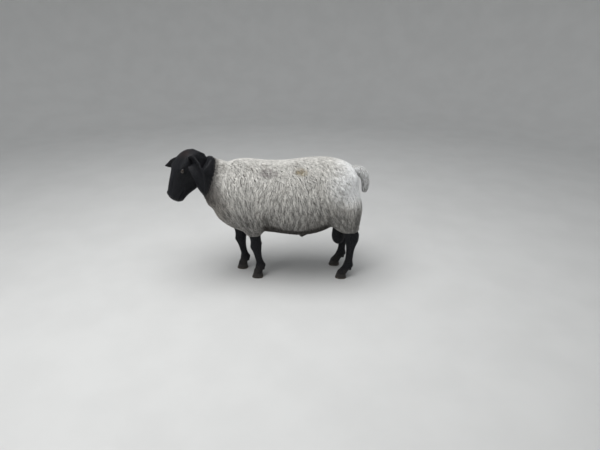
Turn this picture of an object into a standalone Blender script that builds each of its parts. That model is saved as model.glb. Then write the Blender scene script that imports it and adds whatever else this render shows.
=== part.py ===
"""A Suffolk ram as a still, life-size model: black head and legs, cream fleece of rounded clumps.

Metres, +Z up. The ram faces -X and its left side faces -Y. The floor is Z = 0.
"""

import math
import random

import bmesh
import bpy
import numpy as np
from mathutils import Matrix, Vector
from mathutils.bvhtree import BVHTree

# Driving sizes

GAP = 0.0003
# How far tails, ears and such are cut clear of the body, more than the gap because of its sharp creases
CLEARANCE = 0.0007
FLEECE = 0.034
CORE_VOXEL = 0.012
CORE_TRIANGLES = 1000
CLUMP_SPACING = 0.092
CLUMP_LENGTH = 0.084
CLUMP_WIDTH = 0.070
# Reach and rise of each ring of a clump
CLUMP_PROFILE = ((1.0, -0.30), (0.84, 0.42), (0.48, 0.88))
CLUMP_SIDES = 6
CLUMP_ROOT = 0.6
CLUMP_UNEVEN = 0.07
CLUMP_DROOP = 0.18
SAMPLES = 9000
HEM_CLEARANCE = 0.372
HEM_CLUMPS = 7
TAIL_FLEECE = 0.012
TAIL_CLUMP_SPACING = 0.040
TAIL_TRIANGLES = 160
# Length, width and height of the small clumps of the tail and of the legs' hems
TAIL_CLUMP = (0.036, 0.030, 0.0125)
HEM_CLUMP = (0.030, 0.030, 0.018)
HEAD_TRIANGLES = 1900
SEED = 7
TAIL_SEED = 6

# The trunk over the wool: x, top, bottom, half width
TRUNK = (
    (-0.335, 0.620, 0.470, 0.060),
    (-0.300, 0.700, 0.405, 0.125),
    (-0.220, 0.770, 0.348, 0.180),
    (-0.120, 0.785, 0.320, 0.208),
    (0.000, 0.773, 0.325, 0.216),
    (0.120, 0.771, 0.311, 0.230),
    (0.220, 0.783, 0.302, 0.236),
    (0.330, 0.794, 0.318, 0.232),
    (0.420, 0.788, 0.362, 0.224),
    (0.500, 0.766, 0.420, 0.200),
    (0.556, 0.732, 0.480, 0.150),
    (0.582, 0.690, 0.540, 0.090),
)

# The neck over the wool: x, y, z of its middle, half height, half width
NECK = (
    (-0.130, 0.000, 0.560, 0.185, 0.165),
    (-0.210, 0.000, 0.595, 0.172, 0.155),
    (-0.295, -0.012, 0.637, 0.152, 0.138),
    (-0.345, -0.032, 0.695, 0.129, 0.116),
    (-0.395, -0.052, 0.754, 0.112, 0.094),
)

# The feet: x and y of the middle of each hoof
FEET = {
    "front_left": (-0.052, -0.080),
    "front_right": (-0.166, 0.048),
    "hind_left": (0.503, -0.088),
    "hind_right": (0.470, 0.092),
}

# A fore leg's wool: height, x and outward shift from the foot, half depth, half width
FORE_WOOL = (
    (0.600, -0.010, 0.050, 0.120, 0.075),
    (0.480, -0.020, 0.044, 0.105, 0.074),
    (0.400, -0.026, 0.024, 0.084, 0.064),
    (0.345, -0.026, 0.008, 0.062, 0.054),
    (0.315, -0.025, 0.002, 0.048, 0.046),
)

# A hind leg's wool, in the same terms
HIND_WOOL = (
    (0.640, -0.030, 0.030, 0.130, 0.080),
    (0.540, -0.020, 0.044, 0.125, 0.084),
    (0.450, -0.012, 0.040, 0.108, 0.078),
    (0.390, 0.006, 0.022, 0.086, 0.062),
    (0.345, 0.028, 0.008, 0.062, 0.048),
)

# A fore leg's bare part, in the same terms
FORE_LEG = (
    (0.400, -0.026, 0.020, 0.0492, 0.0385),
    (0.340, -0.024, 0.006, 0.0407, 0.0332),
    (0.280, -0.016, 0.002, 0.0342, 0.0300),
    (0.245, -0.014, 0.000, 0.0332, 0.0310),
    (0.220, -0.014, 0.000, 0.0342, 0.0321),
    (0.190, -0.009, 0.000, 0.0268, 0.0268),
    (0.150, -0.002, 0.000, 0.0225, 0.0214),
    (0.115, 0.006, 0.000, 0.0235, 0.0214),
    (0.088, 0.010, 0.000, 0.0310, 0.0289),
    (0.070, 0.004, 0.000, 0.0289, 0.0289),
    (0.052, -0.004, 0.000, 0.0310, 0.0310),
    (0.040, -0.008, 0.000, 0.032, 0.031),
)

# A hind leg's bare part, in the same terms
HIND_LEG = (
    (0.440, -0.012, 0.020, 0.0790, 0.0490),
    (0.380, 0.014, 0.012, 0.0590, 0.0410),
    (0.335, 0.037, 0.004, 0.0465, 0.0350),
    (0.300, 0.049, 0.000, 0.0450, 0.0335),
    (0.270, 0.050, 0.000, 0.0415, 0.0325),
    (0.235, 0.047, 0.000, 0.0310, 0.0278),
    (0.190, 0.043, 0.000, 0.0246, 0.0235),
    (0.130, 0.038, 0.000, 0.0246, 0.0225),
    (0.092, 0.033, 0.000, 0.0321, 0.0289),
    (0.072, 0.020, 0.000, 0.0300, 0.0289),
    (0.052, 0.004, 0.000, 0.0310, 0.0310),
    (0.040, -0.004, 0.000, 0.032, 0.031),
)

# The head: where its axis starts, which way it faces, and its sections
HEAD_START = Vector((-0.450, -0.070, 0.829))
HEAD_YAW = 36.0
HEAD_PITCH = 60.5
HEAD_ROLL = 3.0
HEAD_LENGTH = 0.300
# How much of the length in its tables the head has
HEAD_SHORT = 0.95
MUZZLE_DOME = 0.262
# Along the axis, top, bottom, height of the widest place, half width, squareness above and below
HEAD = (
    (-0.050, -0.010, -0.084, -0.040, 0.038, 2.0, 2.0),
    (-0.030, 0.022, -0.112, -0.025, 0.056, 2.1, 2.0),
    (0.000, 0.042, -0.138, -0.008, 0.068, 2.3, 1.9),
    (0.030, 0.053, -0.153, 0.002, 0.075, 2.4, 1.8),
    (0.070, 0.058, -0.160, 0.010, 0.077, 2.6, 1.8),
    (0.105, 0.058, -0.156, 0.012, 0.073, 2.7, 1.8),
    (0.145, 0.055, -0.142, 0.002, 0.062, 2.6, 1.8),
    (0.185, 0.050, -0.118, -0.008, 0.054, 2.5, 1.9),
    (0.225, 0.042, -0.091, -0.012, 0.051, 2.4, 2.1),
    (0.262, 0.031, -0.073, -0.014, 0.050, 2.4, 2.3),
)
MOUTH_FRONT = -0.026
MOUTH_CORNER = 0.206

# The eyes, in the head's own axes: along, outward, up
EYE = (0.098, 0.0640, 0.030)
EYE_RADIUS = 0.0158
EYE_HALF_OPENING = (0.0135, 0.0088)

# The ears: root, knee and tip. The first is in the head's own axes, the others are shifts in the room's
EAR_ROOT = (0.018, 0.060, -0.012)
EAR_RINGS = 10
EAR_SHIFTS = {
    "left": ((0.022, -0.052, 0.002), (0.056, -0.090, -0.066), (0.074, -0.094, -0.174)),
    "right": ((-0.030, 0.042, -0.014), (-0.098, 0.078, -0.056), (-0.158, 0.086, -0.080)),
}
EAR_CUP = {"left": (-0.30, -0.92, 0.10), "right": (-0.42, -0.60, -0.68)}
EAR_HALF_WIDTH = 0.042
EAR_THICKNESS = 0.0042

# The tail over the wool: x, y, z, half depth and half width
TAIL = (
    (0.530, 0.000, 0.705, 0.040, 0.044),
    (0.580, 0.000, 0.715, 0.036, 0.040),
    (0.615, 0.000, 0.698, 0.030, 0.036),
    (0.632, 0.000, 0.655, 0.026, 0.034),
    (0.634, 0.000, 0.612, 0.023, 0.031),
    (0.628, 0.000, 0.578, 0.016, 0.022),
)

# Thin cuts between the named parts: middle, way it faces and radius
HEAD_CUT = (Vector((-0.350, -0.038, 0.715)), Vector((-0.88, -0.32, 0.35)).normalized(), 0.210)
NECK_CUT = (Vector((-0.215, 0.0, 0.592)), Vector((-0.915, 0.0, 0.404)).normalized(), 0.27)
FORE_CUT_HEIGHT = 0.296
HIND_CUT_HEIGHT = 0.330
LEG_CUT_RADIUS = 0.056

# The hooves: each is two claws
CORONET = 0.040
CLAW_TOE = 0.046
CLAW_HEEL = 0.030
CLAW_WIDTH = 0.0265
CLAW_CLEFT = 0.0016

# The sheath under the belly and the scrotum between the thighs: x, y, z, half depth, half width
SHEATH = (
    (0.330, 0.000, 0.328, 0.022, 0.032),
    (0.270, 0.000, 0.304, 0.021, 0.028),
    (0.236, 0.000, 0.282, 0.017, 0.020),
    (0.227, 0.000, 0.266, 0.010, 0.012),
)
SCROTUM = (
    (0.462, 0.003, 0.400, 0.034, 0.036),
    (0.466, 0.003, 0.355, 0.030, 0.034),
    (0.472, 0.003, 0.305, 0.038, 0.043),
    (0.474, 0.003, 0.265, 0.042, 0.048),
    (0.472, 0.003, 0.232, 0.034, 0.040),
    (0.470, 0.003, 0.214, 0.016, 0.020),
)

COLOURS = {
    "fleece": (0.62, 0.58, 0.50),
    "black": (0.020, 0.020, 0.024),
    "horn": (0.045, 0.040, 0.036),
    "eye": (0.10, 0.05, 0.02),
}


# Small tools


def curve_through(rows, count):
    """`count` rows along a smooth curve through the table's rows, evenly spaced in the row number."""
    rows = np.array(rows, float)
    at = np.linspace(0, len(rows) - 1, count)
    return spline(np.arange(len(rows)), rows, at)


def spline(keys, rows, at):
    """Cubic curve through rows at the given keys, with slopes from each row's neighbours."""
    keys = np.array(keys, float)
    rows = np.array(rows, float)
    steps = np.diff(keys)[:, None]
    slopes = np.diff(rows, axis=0) / steps
    tangents = np.vstack([slopes[:1], (slopes[:-1] + slopes[1:]) / 2, slopes[-1:]])
    place = np.clip(np.searchsorted(keys, at, side="right") - 1, 0, len(keys) - 2)
    t = ((at - keys[place]) / steps[place, 0])[:, None]
    width = steps[place]
    return (
        (2 * t**3 - 3 * t**2 + 1) * rows[place]
        + (t**3 - 2 * t**2 + t) * width * tangents[place]
        + (3 * t**2 - 2 * t**3) * rows[place + 1]
        + (t**3 - t**2) * width * tangents[place + 1]
    )


def ring(centre, side, up, half_width, half_top, half_bottom, power_top, power_bottom, count):
    """A closed section: its points go round from the top through the `side` direction."""
    points = []
    for k in range(count):
        angle = 2 * math.pi * k / count
        power = power_top if math.cos(angle) >= 0 else power_bottom
        half = half_top if math.cos(angle) >= 0 else half_bottom
        across = math.copysign(abs(math.sin(angle)) ** (2 / power), math.sin(angle))
        along = math.copysign(abs(math.cos(angle)) ** (2 / power), math.cos(angle))
        points.append(centre + side * (half_width * across) + up * (half * along))
    return points


def mesh_object(name, points, faces):
    mesh = bpy.data.meshes.new(name)
    mesh.from_pydata([tuple(p) for p in points], [], faces)
    mesh.update()
    made = bpy.data.objects.new(name, mesh)
    bpy.context.scene.collection.objects.link(made)
    return made


def loft(name, rings, start=None, end=None):
    """A closed solid through rings of equal length, with a pole or the ring's middle at each end."""
    count = len(rings[0])
    points = [p for one in rings for p in one]
    faces = []
    for r in range(len(rings) - 1):
        for k in range(count):
            a = r * count + k
            b = r * count + (k + 1) % count
            faces.append((a, b, b + count, a + count))
    for last, pole in ((False, start), (True, end)):
        edge = rings[-1] if last else rings[0]
        points.append(pole if pole is not None else sum(edge, Vector()) / count)
        first = (len(rings) - 1) * count if last else 0
        for k in range(count):
            a, b = first + k, first + (k + 1) % count
            faces.append((b, a, len(points) - 1) if not last else (a, b, len(points) - 1))
    made = mesh_object(name, points, faces)
    face_outwards(made)
    return made


def face_outwards(made):
    work = bmesh.new()
    work.from_mesh(made.data)
    bmesh.ops.recalc_face_normals(work, faces=work.faces)
    if work.calc_volume(signed=True) < 0:
        bmesh.ops.reverse_faces(work, faces=work.faces)
    work.to_mesh(made.data)
    work.free()


def apply_modifiers(made):
    """Bakes the object's modifiers into its mesh."""
    graph = bpy.context.evaluated_depsgraph_get()
    mesh = bpy.data.meshes.new_from_object(made.evaluated_get(graph))
    made.modifiers.clear()
    made.data = mesh


def remove(*objects):
    for one in objects:
        bpy.data.objects.remove(one)


def combine(made, others, operation):
    """One Boolean of `made` with every solid in `others`, which it uses up."""
    if not others:
        return made
    group = bpy.data.collections.new("group")
    bpy.context.scene.collection.children.link(group)
    for one in others:
        group.objects.link(one)
    step = made.modifiers.new(operation, "BOOLEAN")
    step.operation = operation
    step.solver = "MANIFOLD"
    step.operand_type = "COLLECTION"
    step.collection = group
    apply_modifiers(made)
    remove(*others)
    bpy.data.collections.remove(group)
    return made


def decimated(made, triangles):
    """The same form with about that many triangles."""
    step = made.modifiers.new("triangulate", "TRIANGULATE")
    count = sum(len(p.vertices) - 2 for p in made.data.polygons)
    step = made.modifiers.new("decimate", "DECIMATE")
    step.ratio = min(1.0, triangles / count)
    apply_modifiers(made)
    return made


def remeshed(made, voxel, smoothings):
    step = made.modifiers.new("remesh", "REMESH")
    step.mode = "VOXEL"
    step.voxel_size = voxel
    step = made.modifiers.new("smooth", "SMOOTH")
    step.factor = 0.5
    step.iterations = smoothings
    apply_modifiers(made)
    return made


def joined(name, pieces):
    """Several meshes as one object, still overlapping."""
    points, faces = [], []
    for one in pieces:
        first = len(points)
        points += [one.matrix_world @ v.co for v in one.data.vertices]
        faces += [tuple(first + i for i in p.vertices) for p in one.data.polygons]
    remove(*pieces)
    return mesh_object(name, points, faces)


# The woolled body


def trunk_form(inset):
    rows = curve_through(TRUNK, 26)
    rings = []
    for x, top, bottom, half in rows:
        middle = top * 0.5 + bottom * 0.5
        tall = max((top - bottom) / 2 - inset, 0.012)
        wide = max(half - inset, 0.012)
        centre = Vector((x, 0, middle))
        rings.append(ring(centre, Vector((0, 1, 0)), Vector((0, 0, 1)), wide, tall, tall, 2.3, 2.2, 28))
    return loft("trunk", rings)


def neck_form(inset):
    rows = curve_through(NECK, 12)
    rings = []
    for i, row in enumerate(rows):
        centre = Vector(row[:3])
        ahead = Vector(rows[min(i + 1, len(rows) - 1)][:3] - rows[max(i - 1, 0)][:3]).normalized()
        side = Vector((0, 0, 1)).cross(ahead).normalized()
        up = ahead.cross(side)
        thin = inset * (1 - 0.6 * (i / (len(rows) - 1)) ** 2)
        tall, wide = row[3] - thin, row[4] - thin
        rings.append(ring(centre, side, up, wide, tall, tall, 2.1, 2.0, 24))
    return loft("neck", rings)


def leg_form(name, table, foot, inset, rings=10, sides=18, squareness=2.2):
    """A leg or its wool as flat sections one above the other, from a table of heights."""
    x, y = FEET[foot]
    outward = -1 if foot.endswith("left") else 1
    rows = curve_through(table, rings)
    made = []
    for height, shift, out, depth, width in rows:
        centre = Vector((x + shift, y + outward * out, height))
        deep, wide = max(depth - inset, 0.012), max(width - inset, 0.012)
        across, ahead = Vector((0, 1, 0)), Vector((1, 0, 0))
        made.append(ring(centre, across, ahead, wide, deep, deep, squareness, squareness, sides))
    return loft(name, made)


def tail_form(inset):
    rows = curve_through(TAIL, 10)
    rings = []
    for i, row in enumerate(rows):
        ahead = Vector(rows[min(i + 1, len(rows) - 1)][:3] - rows[max(i - 1, 0)][:3]).normalized()
        side = Vector((0, 1, 0))
        up = ahead.cross(side).normalized()
        deep, wide = max(row[3] - inset, 0.006), max(row[4] - inset, 0.006)
        rings.append(ring(Vector(row[:3]), side, up, wide, deep, deep, 2, 2, 12))
    return loft("tail", rings)


def woolled_form(inset):
    """Trunk, neck and upper legs as one smooth closed form, set in by `inset` from the wool's tips."""
    pieces = [trunk_form(inset), neck_form(inset)]
    for foot in FEET:
        table = FORE_WOOL if foot.startswith("front") else HIND_WOOL
        pieces.append(leg_form("upper_" + foot, table, foot, inset * 0.8))
    return remeshed(joined("body", pieces), CORE_VOXEL, 10)


# The clumps of the fleece


def spread_over(made, spacing, seed):
    """Even points over the mesh, about `spacing` apart, each with its normal."""
    rng = np.random.default_rng(seed)
    made.data.calc_loop_triangles()
    corners = np.array([v.co for v in made.data.vertices])
    normals = np.array([v.normal for v in made.data.vertices])
    faces = np.array([t.vertices for t in made.data.loop_triangles])
    a, b, c = corners[faces[:, 0]], corners[faces[:, 1]], corners[faces[:, 2]]
    areas = np.linalg.norm(np.cross(b - a, c - a), axis=1) / 2
    picks = rng.choice(len(faces), SAMPLES, p=areas / areas.sum())
    shares = np.sort(rng.random((SAMPLES, 2)), axis=1)
    weights = np.stack([shares[:, 0], shares[:, 1] - shares[:, 0], 1 - shares[:, 1]], axis=1)
    points = np.einsum("ij,ijk->ik", weights, corners[faces[picks]])
    facing = np.einsum("ij,ijk->ik", weights, normals[faces[picks]])
    # Each next point is the one farthest from all before it
    nearest = np.full(SAMPLES, np.inf)
    index, found = 0, []
    while True:
        found.append((Vector(points[index]), Vector(facing[index]).normalized()))
        nearest = np.minimum(nearest, np.linalg.norm(points - points[index], axis=1))
        index = int(nearest.argmax())
        if nearest[index] < spacing:
            return found


def lie_at(point, normal):
    """Which way the wool lies: down and a little back, along the surface."""
    wish = Vector((0.35, 0, -1))
    flat = wish - normal * wish.dot(normal)
    if flat.length < 0.2:
        flat = Vector((1, 0, 0)) - normal * normal.x
    return flat.normalized()


def clump(tree, point, normal, lie, length, width, height, rng):
    """A rounded lump that follows the core's curve, its root sunk and its top hanging a little."""
    across = normal.cross(lie)
    sides = CLUMP_SIDES
    turn = 2 * math.pi * rng.random() / sides
    points = [point - normal * height * CLUMP_ROOT]
    for reach, rise in CLUMP_PROFILE:
        for k in range(sides):
            angle = turn + 2 * math.pi * k / sides
            bulge = reach * (1 + rng.uniform(-CLUMP_UNEVEN, CLUMP_UNEVEN))
            flat = point + across * math.cos(angle) * width * bulge + lie * math.sin(angle) * length * bulge
            flat += lie * max(rise, 0) * length * CLUMP_DROOP
            below, facing, _, _ = tree.find_nearest(flat)
            points.append(below + (facing * 0.6 + normal * 0.4) * rise * height)
    points.append(point + lie * length * CLUMP_DROOP + normal * height)
    faces = [(0, 1 + (k + 1) % sides, 1 + k) for k in range(sides)]
    for r in range(len(CLUMP_PROFILE) - 1):
        for k in range(sides):
            a = 1 + r * sides + k
            b = 1 + r * sides + (k + 1) % sides
            faces.append((a, b, b + sides, a + sides))
    first = 1 + (len(CLUMP_PROFILE) - 1) * sides
    faces += [(first + k, first + (k + 1) % sides, len(points) - 1) for k in range(sides)]
    made = mesh_object("clump", points, faces)
    face_outwards(made)
    return made


def tree_of(made):
    points = [v.co.copy() for v in made.data.vertices]
    return BVHTree.FromPolygons(points, [tuple(p.vertices) for p in made.data.polygons])


def coat_height(point):
    """How far the wool stands above the core at a place: less on the tail, throat and leg ends."""
    height = FLEECE
    if point.z < 0.42:
        height = FLEECE * min(1.0, 0.62 + 0.38 * max(point.z - 0.32, 0) / 0.10)
    return min(height, FLEECE * max(0.42, min(1.0, 0.42 - head_side(point) * 3.6)))


def leg_distance(point, foot):
    """How far a point is from the middle line of a leg where its wool ends."""
    middle = leg_cut(foot)[0]
    return math.hypot(point.x - middle.x, point.y - middle.y)


def clumps_over(core):
    """Clumps set close all over the core, and a ring of small ones round each leg's hem."""
    rng = random.Random(SEED)
    tree = tree_of(core)
    made = []
    for point, normal in spread_over(core, CLUMP_SPACING, SEED):
        room = -head_side(point)
        if point.z < HEM_CLEARANCE:
            room = min(room, min(leg_distance(point, foot) for foot in FEET) - LEG_CUT_RADIUS - 0.012)
        if room < 0.024:
            continue
        height = coat_height(point)
        size = 0.55 + 0.45 * height / FLEECE
        width = min(CLUMP_WIDTH * size * rng.uniform(0.94, 1.06), room - 0.004 if room < 0.06 else 1)
        length = min(CLUMP_LENGTH * size * rng.uniform(0.94, 1.06), room - 0.004 if room < 0.06 else 1)
        height *= rng.uniform(0.90, 1.06)
        made.append(clump(tree, point, normal, lie_at(point, normal), length, width, height, rng))
    for foot, (x, y) in FEET.items():
        front = foot.startswith("front")
        height, shift, out, deep, wide = (FORE_WOOL if front else HIND_WOOL)[-2]
        outward = -1 if foot.endswith("left") else 1
        for k in range(HEM_CLUMPS):
            angle = 2 * math.pi * (k + 0.5 * front) / HEM_CLUMPS
            place = Vector((x + shift, y + outward * out, height + 0.006 + 0.008 * (k % 2)))
            place += Vector((deep * math.cos(angle), wide * math.sin(angle), 0))
            place, normal, _, _ = tree.find_nearest(place)
            made.append(clump(tree, place, normal, lie_at(place, normal), *HEM_CLUMP, rng))
    return made


# The head


def head_axes():
    """The head's own directions: towards the muzzle, to its left, and out of the forehead."""
    yaw, pitch = math.radians(HEAD_YAW), math.radians(HEAD_PITCH)
    along = Vector(
        (-math.cos(pitch) * math.cos(yaw), -math.cos(pitch) * math.sin(yaw), -math.sin(pitch))
    )
    left = Vector((math.sin(yaw), -math.cos(yaw), 0))
    up = left.cross(along)
    if up.z < 0:
        up = -up
    turn = Matrix.Rotation(math.radians(HEAD_ROLL), 3, along)
    return along, turn @ left, turn @ up


def head_place(along, left, up):
    a, l, u = head_axes()
    return HEAD_START + a * along * HEAD_SHORT + l * left + u * up


def head_side(point):
    """How far a point is ahead of the plane where the head meets the neck."""
    return (point - HEAD_CUT[0]).dot(HEAD_CUT[1])


def bump(value, middle, width):
    return math.exp(-(((value - middle) / width) ** 2))


def head_relief(s, across, up):
    """How far the skin stands out from the plain section: brow, cheek, nostrils, chin and lips."""
    side = abs(across)
    out = 0.0095 * bump(s, 0.090, 0.026) * bump(up, 0.050, 0.016) * bump(side, 0.062, 0.022)
    out += 0.006 * bump(s, 0.070, 0.040) * bump(up, -0.060, 0.040) * bump(side, 0.060, 0.03)
    out -= 0.0040 * bump(s, 0.135, 0.018) * bump(up, 0.020, 0.014) * bump(side, 0.058, 0.025)
    out += 0.0065 * bump(s, 0.268, 0.016) * bump(up, 0.016, 0.013) * bump(side, 0.032, 0.013)
    out -= 0.0045 * bump(s, 0.285, 0.018) * bump(up, 0.004, 0.016) * bump(side, 0.0, 0.0035)
    out += 0.0040 * bump(s, 0.250, 0.025) * bump(up, -0.052, 0.012) * bump(side, 0.0, 0.026)
    if s > MOUTH_CORNER - 0.006:
        lip = mouth_height(s)
        share = min(1.0, (s - MOUTH_CORNER + 0.006) / 0.012)
        out -= 0.0060 * share * bump(up, lip, 0.0030)
        out += 0.0026 * share * (bump(up, lip + 0.0095, 0.006) + bump(up, lip - 0.0095, 0.006))
    return out


def mouth_height(s):
    """The mouth's line runs back and down a little from the front of the lips."""
    return MOUTH_FRONT - 0.14 * max(0.268 - s, 0)


def head_form(rings, sides, dome):
    """The head as sections along its axis, its front closed by a dome at the lips."""
    keys = np.linspace(HEAD[0][0], MUZZLE_DOME, rings)
    table = spline([row[0] for row in HEAD], HEAD, keys)
    made = []
    sections = [(row, 1.0) for row in table]
    last = table[-1]
    for k in range(1, dome):
        angle = math.pi / 2 * k / dome
        row = last.copy()
        row[0] = MUZZLE_DOME + (HEAD_LENGTH - MUZZLE_DOME) * math.sin(angle)
        sections.append((row, math.cos(angle)))
    for (s, top, bottom, wide_at, half, power_top, power_bottom), share in sections:
        base = MOUTH_FRONT + (wide_at - MOUTH_FRONT) * share
        flat = ring(
            Vector((0, 0, 0)),
            Vector((1, 0, 0)),
            Vector((0, 1, 0)),
            half * share,
            (top - wide_at) * share,
            (wide_at - bottom) * share,
            power_top,
            power_bottom,
            sides,
        )
        points = []
        for p in flat:
            outward = Vector((p.x, p.y, 0)).normalized()
            relief = head_relief(s, p.x, base + p.y) * min(1.0, share * 2.5)
            q = p + outward * relief
            points.append(head_place(s, q.x, base + q.y))
        made.append(points)
    return loft("head", made, end=head_place(HEAD_LENGTH, 0, MOUTH_FRONT))


def eye_place(side):
    along, outward, up = EYE
    return head_place(along, outward * side, up)


def ball(name, centre, radius, sides, rings):
    mesh = bpy.data.meshes.new(name)
    work = bmesh.new()
    bmesh.ops.create_uvsphere(work, u_segments=sides, v_segments=rings, radius=radius)
    bmesh.ops.translate(work, vec=centre, verts=work.verts)
    work.to_mesh(mesh)
    work.free()
    made = bpy.data.objects.new(name, mesh)
    bpy.context.scene.collection.objects.link(made)
    return made


def ear_form(side_name, rings=EAR_RINGS, across=8):
    """A cupped leaf of even thickness: rolled at the root, open along its length, pointed at the tip."""
    side = 1 if side_name == "left" else -1
    root = head_place(EAR_ROOT[0], EAR_ROOT[1] * side, EAR_ROOT[2])
    line = [root] + [root + Vector(shift) for shift in EAR_SHIFTS[side_name]]
    rows = curve_through([tuple(p) for p in line], rings)
    cup = Vector(EAR_CUP[side_name])
    sections = []
    for i in range(rings):
        t = i / (rings - 1)
        ahead = Vector(rows[min(i + 1, rings - 1)] - rows[max(i - 1, 0)]).normalized()
        facing = (cup - ahead * cup.dot(ahead)).normalized()
        wide = ahead.cross(facing).normalized()
        half = EAR_HALF_WIDTH * (0.50 + 0.50 * math.sin(min(t / 0.50, 1) * math.pi / 2))
        if t > 0.50:
            half = EAR_HALF_WIDTH * max(math.cos((t - 0.50) / 0.50 * math.pi / 2) ** 0.7, 0.07)
        roll = math.radians(34 + 66 * (1 - t) ** 1.6)
        radius = half / math.sin(min(roll, math.pi / 2))
        thin = min(EAR_THICKNESS * (1.6 - 0.6 * t), half * 0.6)
        sections.append((Vector(rows[i]), facing, wide, radius, roll, thin))
    points, count = [], across + 1
    for centre, facing, wide, radius, roll, thin in sections:
        # The section's middle is its back, so a rolled root stays round the line
        middle = centre + facing * (radius if roll < math.pi / 2 else radius * 0.4)
        for depth in (0.0, thin):
            for k in range(count):
                angle = roll * (2 * k / across - 1)
                spoke = wide * math.sin(angle) - facing * math.cos(angle)
                points.append(middle + spoke * (radius - depth))
    faces = []
    for i in range(rings - 1):
        for k in range(across):
            a = i * 2 * count + k
            b = a + 2 * count
            faces.append((a, a + 1, b + 1, b))
            faces.append((a + count, b + count, b + count + 1, a + count + 1))
        for k in (0, across):
            a = i * 2 * count + k
            b = a + 2 * count
            faces.append((a, b, b + count, a + count))
    for first in (0, (rings - 1) * 2 * count):
        for k in range(across):
            a = first + k
            faces.append((a, a + 1, a + 1 + count, a + count))
    made = mesh_object("ear_" + side_name, points, faces)
    face_outwards(made)
    return made


def lid_form(side):
    """A rounded rim round the eye's almond opening, lying on the eyeball."""
    along, left, up = head_axes()
    centre = eye_place(side)
    out = (left * side * 0.93 + up * 0.28 + along * 0.22).normalized()
    ahead = (along - out * along.dot(out)).normalized()
    over = out.cross(ahead)
    if over.dot(up) < 0:
        over = -over
    wide, tall = EYE_HALF_OPENING
    sections = []
    for k in range(16):
        angle = 2 * math.pi * k / 16
        x = wide * math.cos(angle)
        y = tall * math.sin(angle) * (1 - 0.25 * (x / wide) ** 2)
        flat = ahead * x * 1.14 + over * y * 1.22
        depth = math.sqrt(max(EYE_RADIUS**2 - flat.length_squared, 0))
        middle = centre + flat + out * (depth + 0.0004)
        spoke = flat.normalized()
        fat = 0.0036 if y > 0 else 0.0030
        sections.append(
            [
                middle + (spoke * math.cos(a) + out * math.sin(a)) * fat
                for a in (2 * math.pi * j / 6 for j in range(6))
            ]
        )
    points = [p for one in sections for p in one]
    faces = []
    for k in range(16):
        for j in range(6):
            a, b = k * 6 + j, k * 6 + (j + 1) % 6
            c, d = ((k + 1) % 16) * 6 + (j + 1) % 6, ((k + 1) % 16) * 6 + j
            faces.append((a, b, c, d))
    made = mesh_object("lid", points, faces)
    face_outwards(made)
    return made


def nostril_cutter(side):
    """A slanting comma that opens each nostril."""
    along, left, up = head_axes()
    sections = []
    for i, t in enumerate(np.linspace(0, 1, 5)):
        place = head_place(0.281 + 0.012 * t, side * (0.0300 - 0.0190 * t), 0.017 - 0.018 * t)
        fat = (0.0026, 0.0044, 0.0046, 0.0036, 0.0020)[i]
        inward = (along * 0.9 + left * side * 0.42).normalized()
        aside = inward.cross((left * side * -0.65 - up * 0.75).normalized()).normalized()
        sections.append(
            [
                place + (inward * math.cos(a) * 3.4 + aside * math.sin(a)) * fat
                for a in (2 * math.pi * j / 8 for j in range(8))
            ]
        )
    return loft("nostril", sections)


# Smaller parts


def pouch_form(name, table, rings, sides):
    rows = curve_through(table, rings)
    made = []
    for i, row in enumerate(rows):
        ahead = Vector(rows[min(i + 1, len(rows) - 1)][:3] - rows[max(i - 1, 0)][:3]).normalized()
        side = Vector((0, 1, 0))
        up = ahead.cross(side).normalized()
        made.append(ring(Vector(row[:3]), side, up, row[4], row[3], row[3], 2, 2, sides))
    return loft(name, made)


def scrotum_form():
    return pouch_form("scrotum", SCROTUM, 10, 14)


def tail_of_clumps():
    """The tail with its own small clumps, each lying towards the tip."""
    core = remeshed(tail_form(TAIL_FLEECE), CORE_VOXEL * 0.6, 4)
    rng = random.Random(TAIL_SEED)
    tree = tree_of(core)
    lumps = []
    for point, normal in spread_over(core, TAIL_CLUMP_SPACING, TAIL_SEED):
        ahead = Vector((0.1, 0, -1))
        lie = (ahead - normal * ahead.dot(normal)).normalized()
        lumps.append(clump(tree, point, normal, lie, *TAIL_CLUMP, rng))
    decimated(core, TAIL_TRIANGLES)
    return combine(core, lumps, "UNION")


def dewclaws(foot):
    x, y = FEET[foot]
    shift = 0.030 if foot.startswith("front") else 0.048
    made = []
    for side in (-1, 1):
        one = ball("dewclaw", Vector((0, 0, 0)), 1.0, 6, 4)
        one.data.transform(Matrix.Diagonal((0.010, 0.0075, 0.012, 1)))
        one.data.transform(Matrix.Translation((x + shift, y + 0.013 * side, 0.072)))
        made.append(one)
    return made


def claw(name, foot, side):
    """One claw: flat below and on its inner side, its front wall sloping from the coronet to the toe."""
    x, y = FEET[foot]
    top, bottom = [], []
    steps = 7
    for k in range(steps + 1):
        angle = math.pi * k / steps
        reach = math.cos(angle)
        out = math.sin(angle) ** 0.8
        ahead = CLAW_TOE if reach > 0 else CLAW_HEEL
        bottom.append(Vector((x - 0.004 - ahead * reach, y + side * (CLAW_CLEFT + CLAW_WIDTH * out), 0)))
        ahead = 0.030 if reach > 0 else 0.026
        top.append(
            Vector(
                (
                    x - 0.006 - ahead * reach,
                    y + side * (CLAW_CLEFT + (CLAW_WIDTH + 0.002) * out),
                    CORONET - GAP,
                )
            )
        )
    middle = [a * 0.45 + b * 0.55 for a, b in zip(top, bottom)]
    middle = [m + Vector((0, side * 0.0012, 0)) * (0 < i < steps) for i, m in enumerate(middle)]
    return loft(name, [top, middle, bottom])


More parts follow.
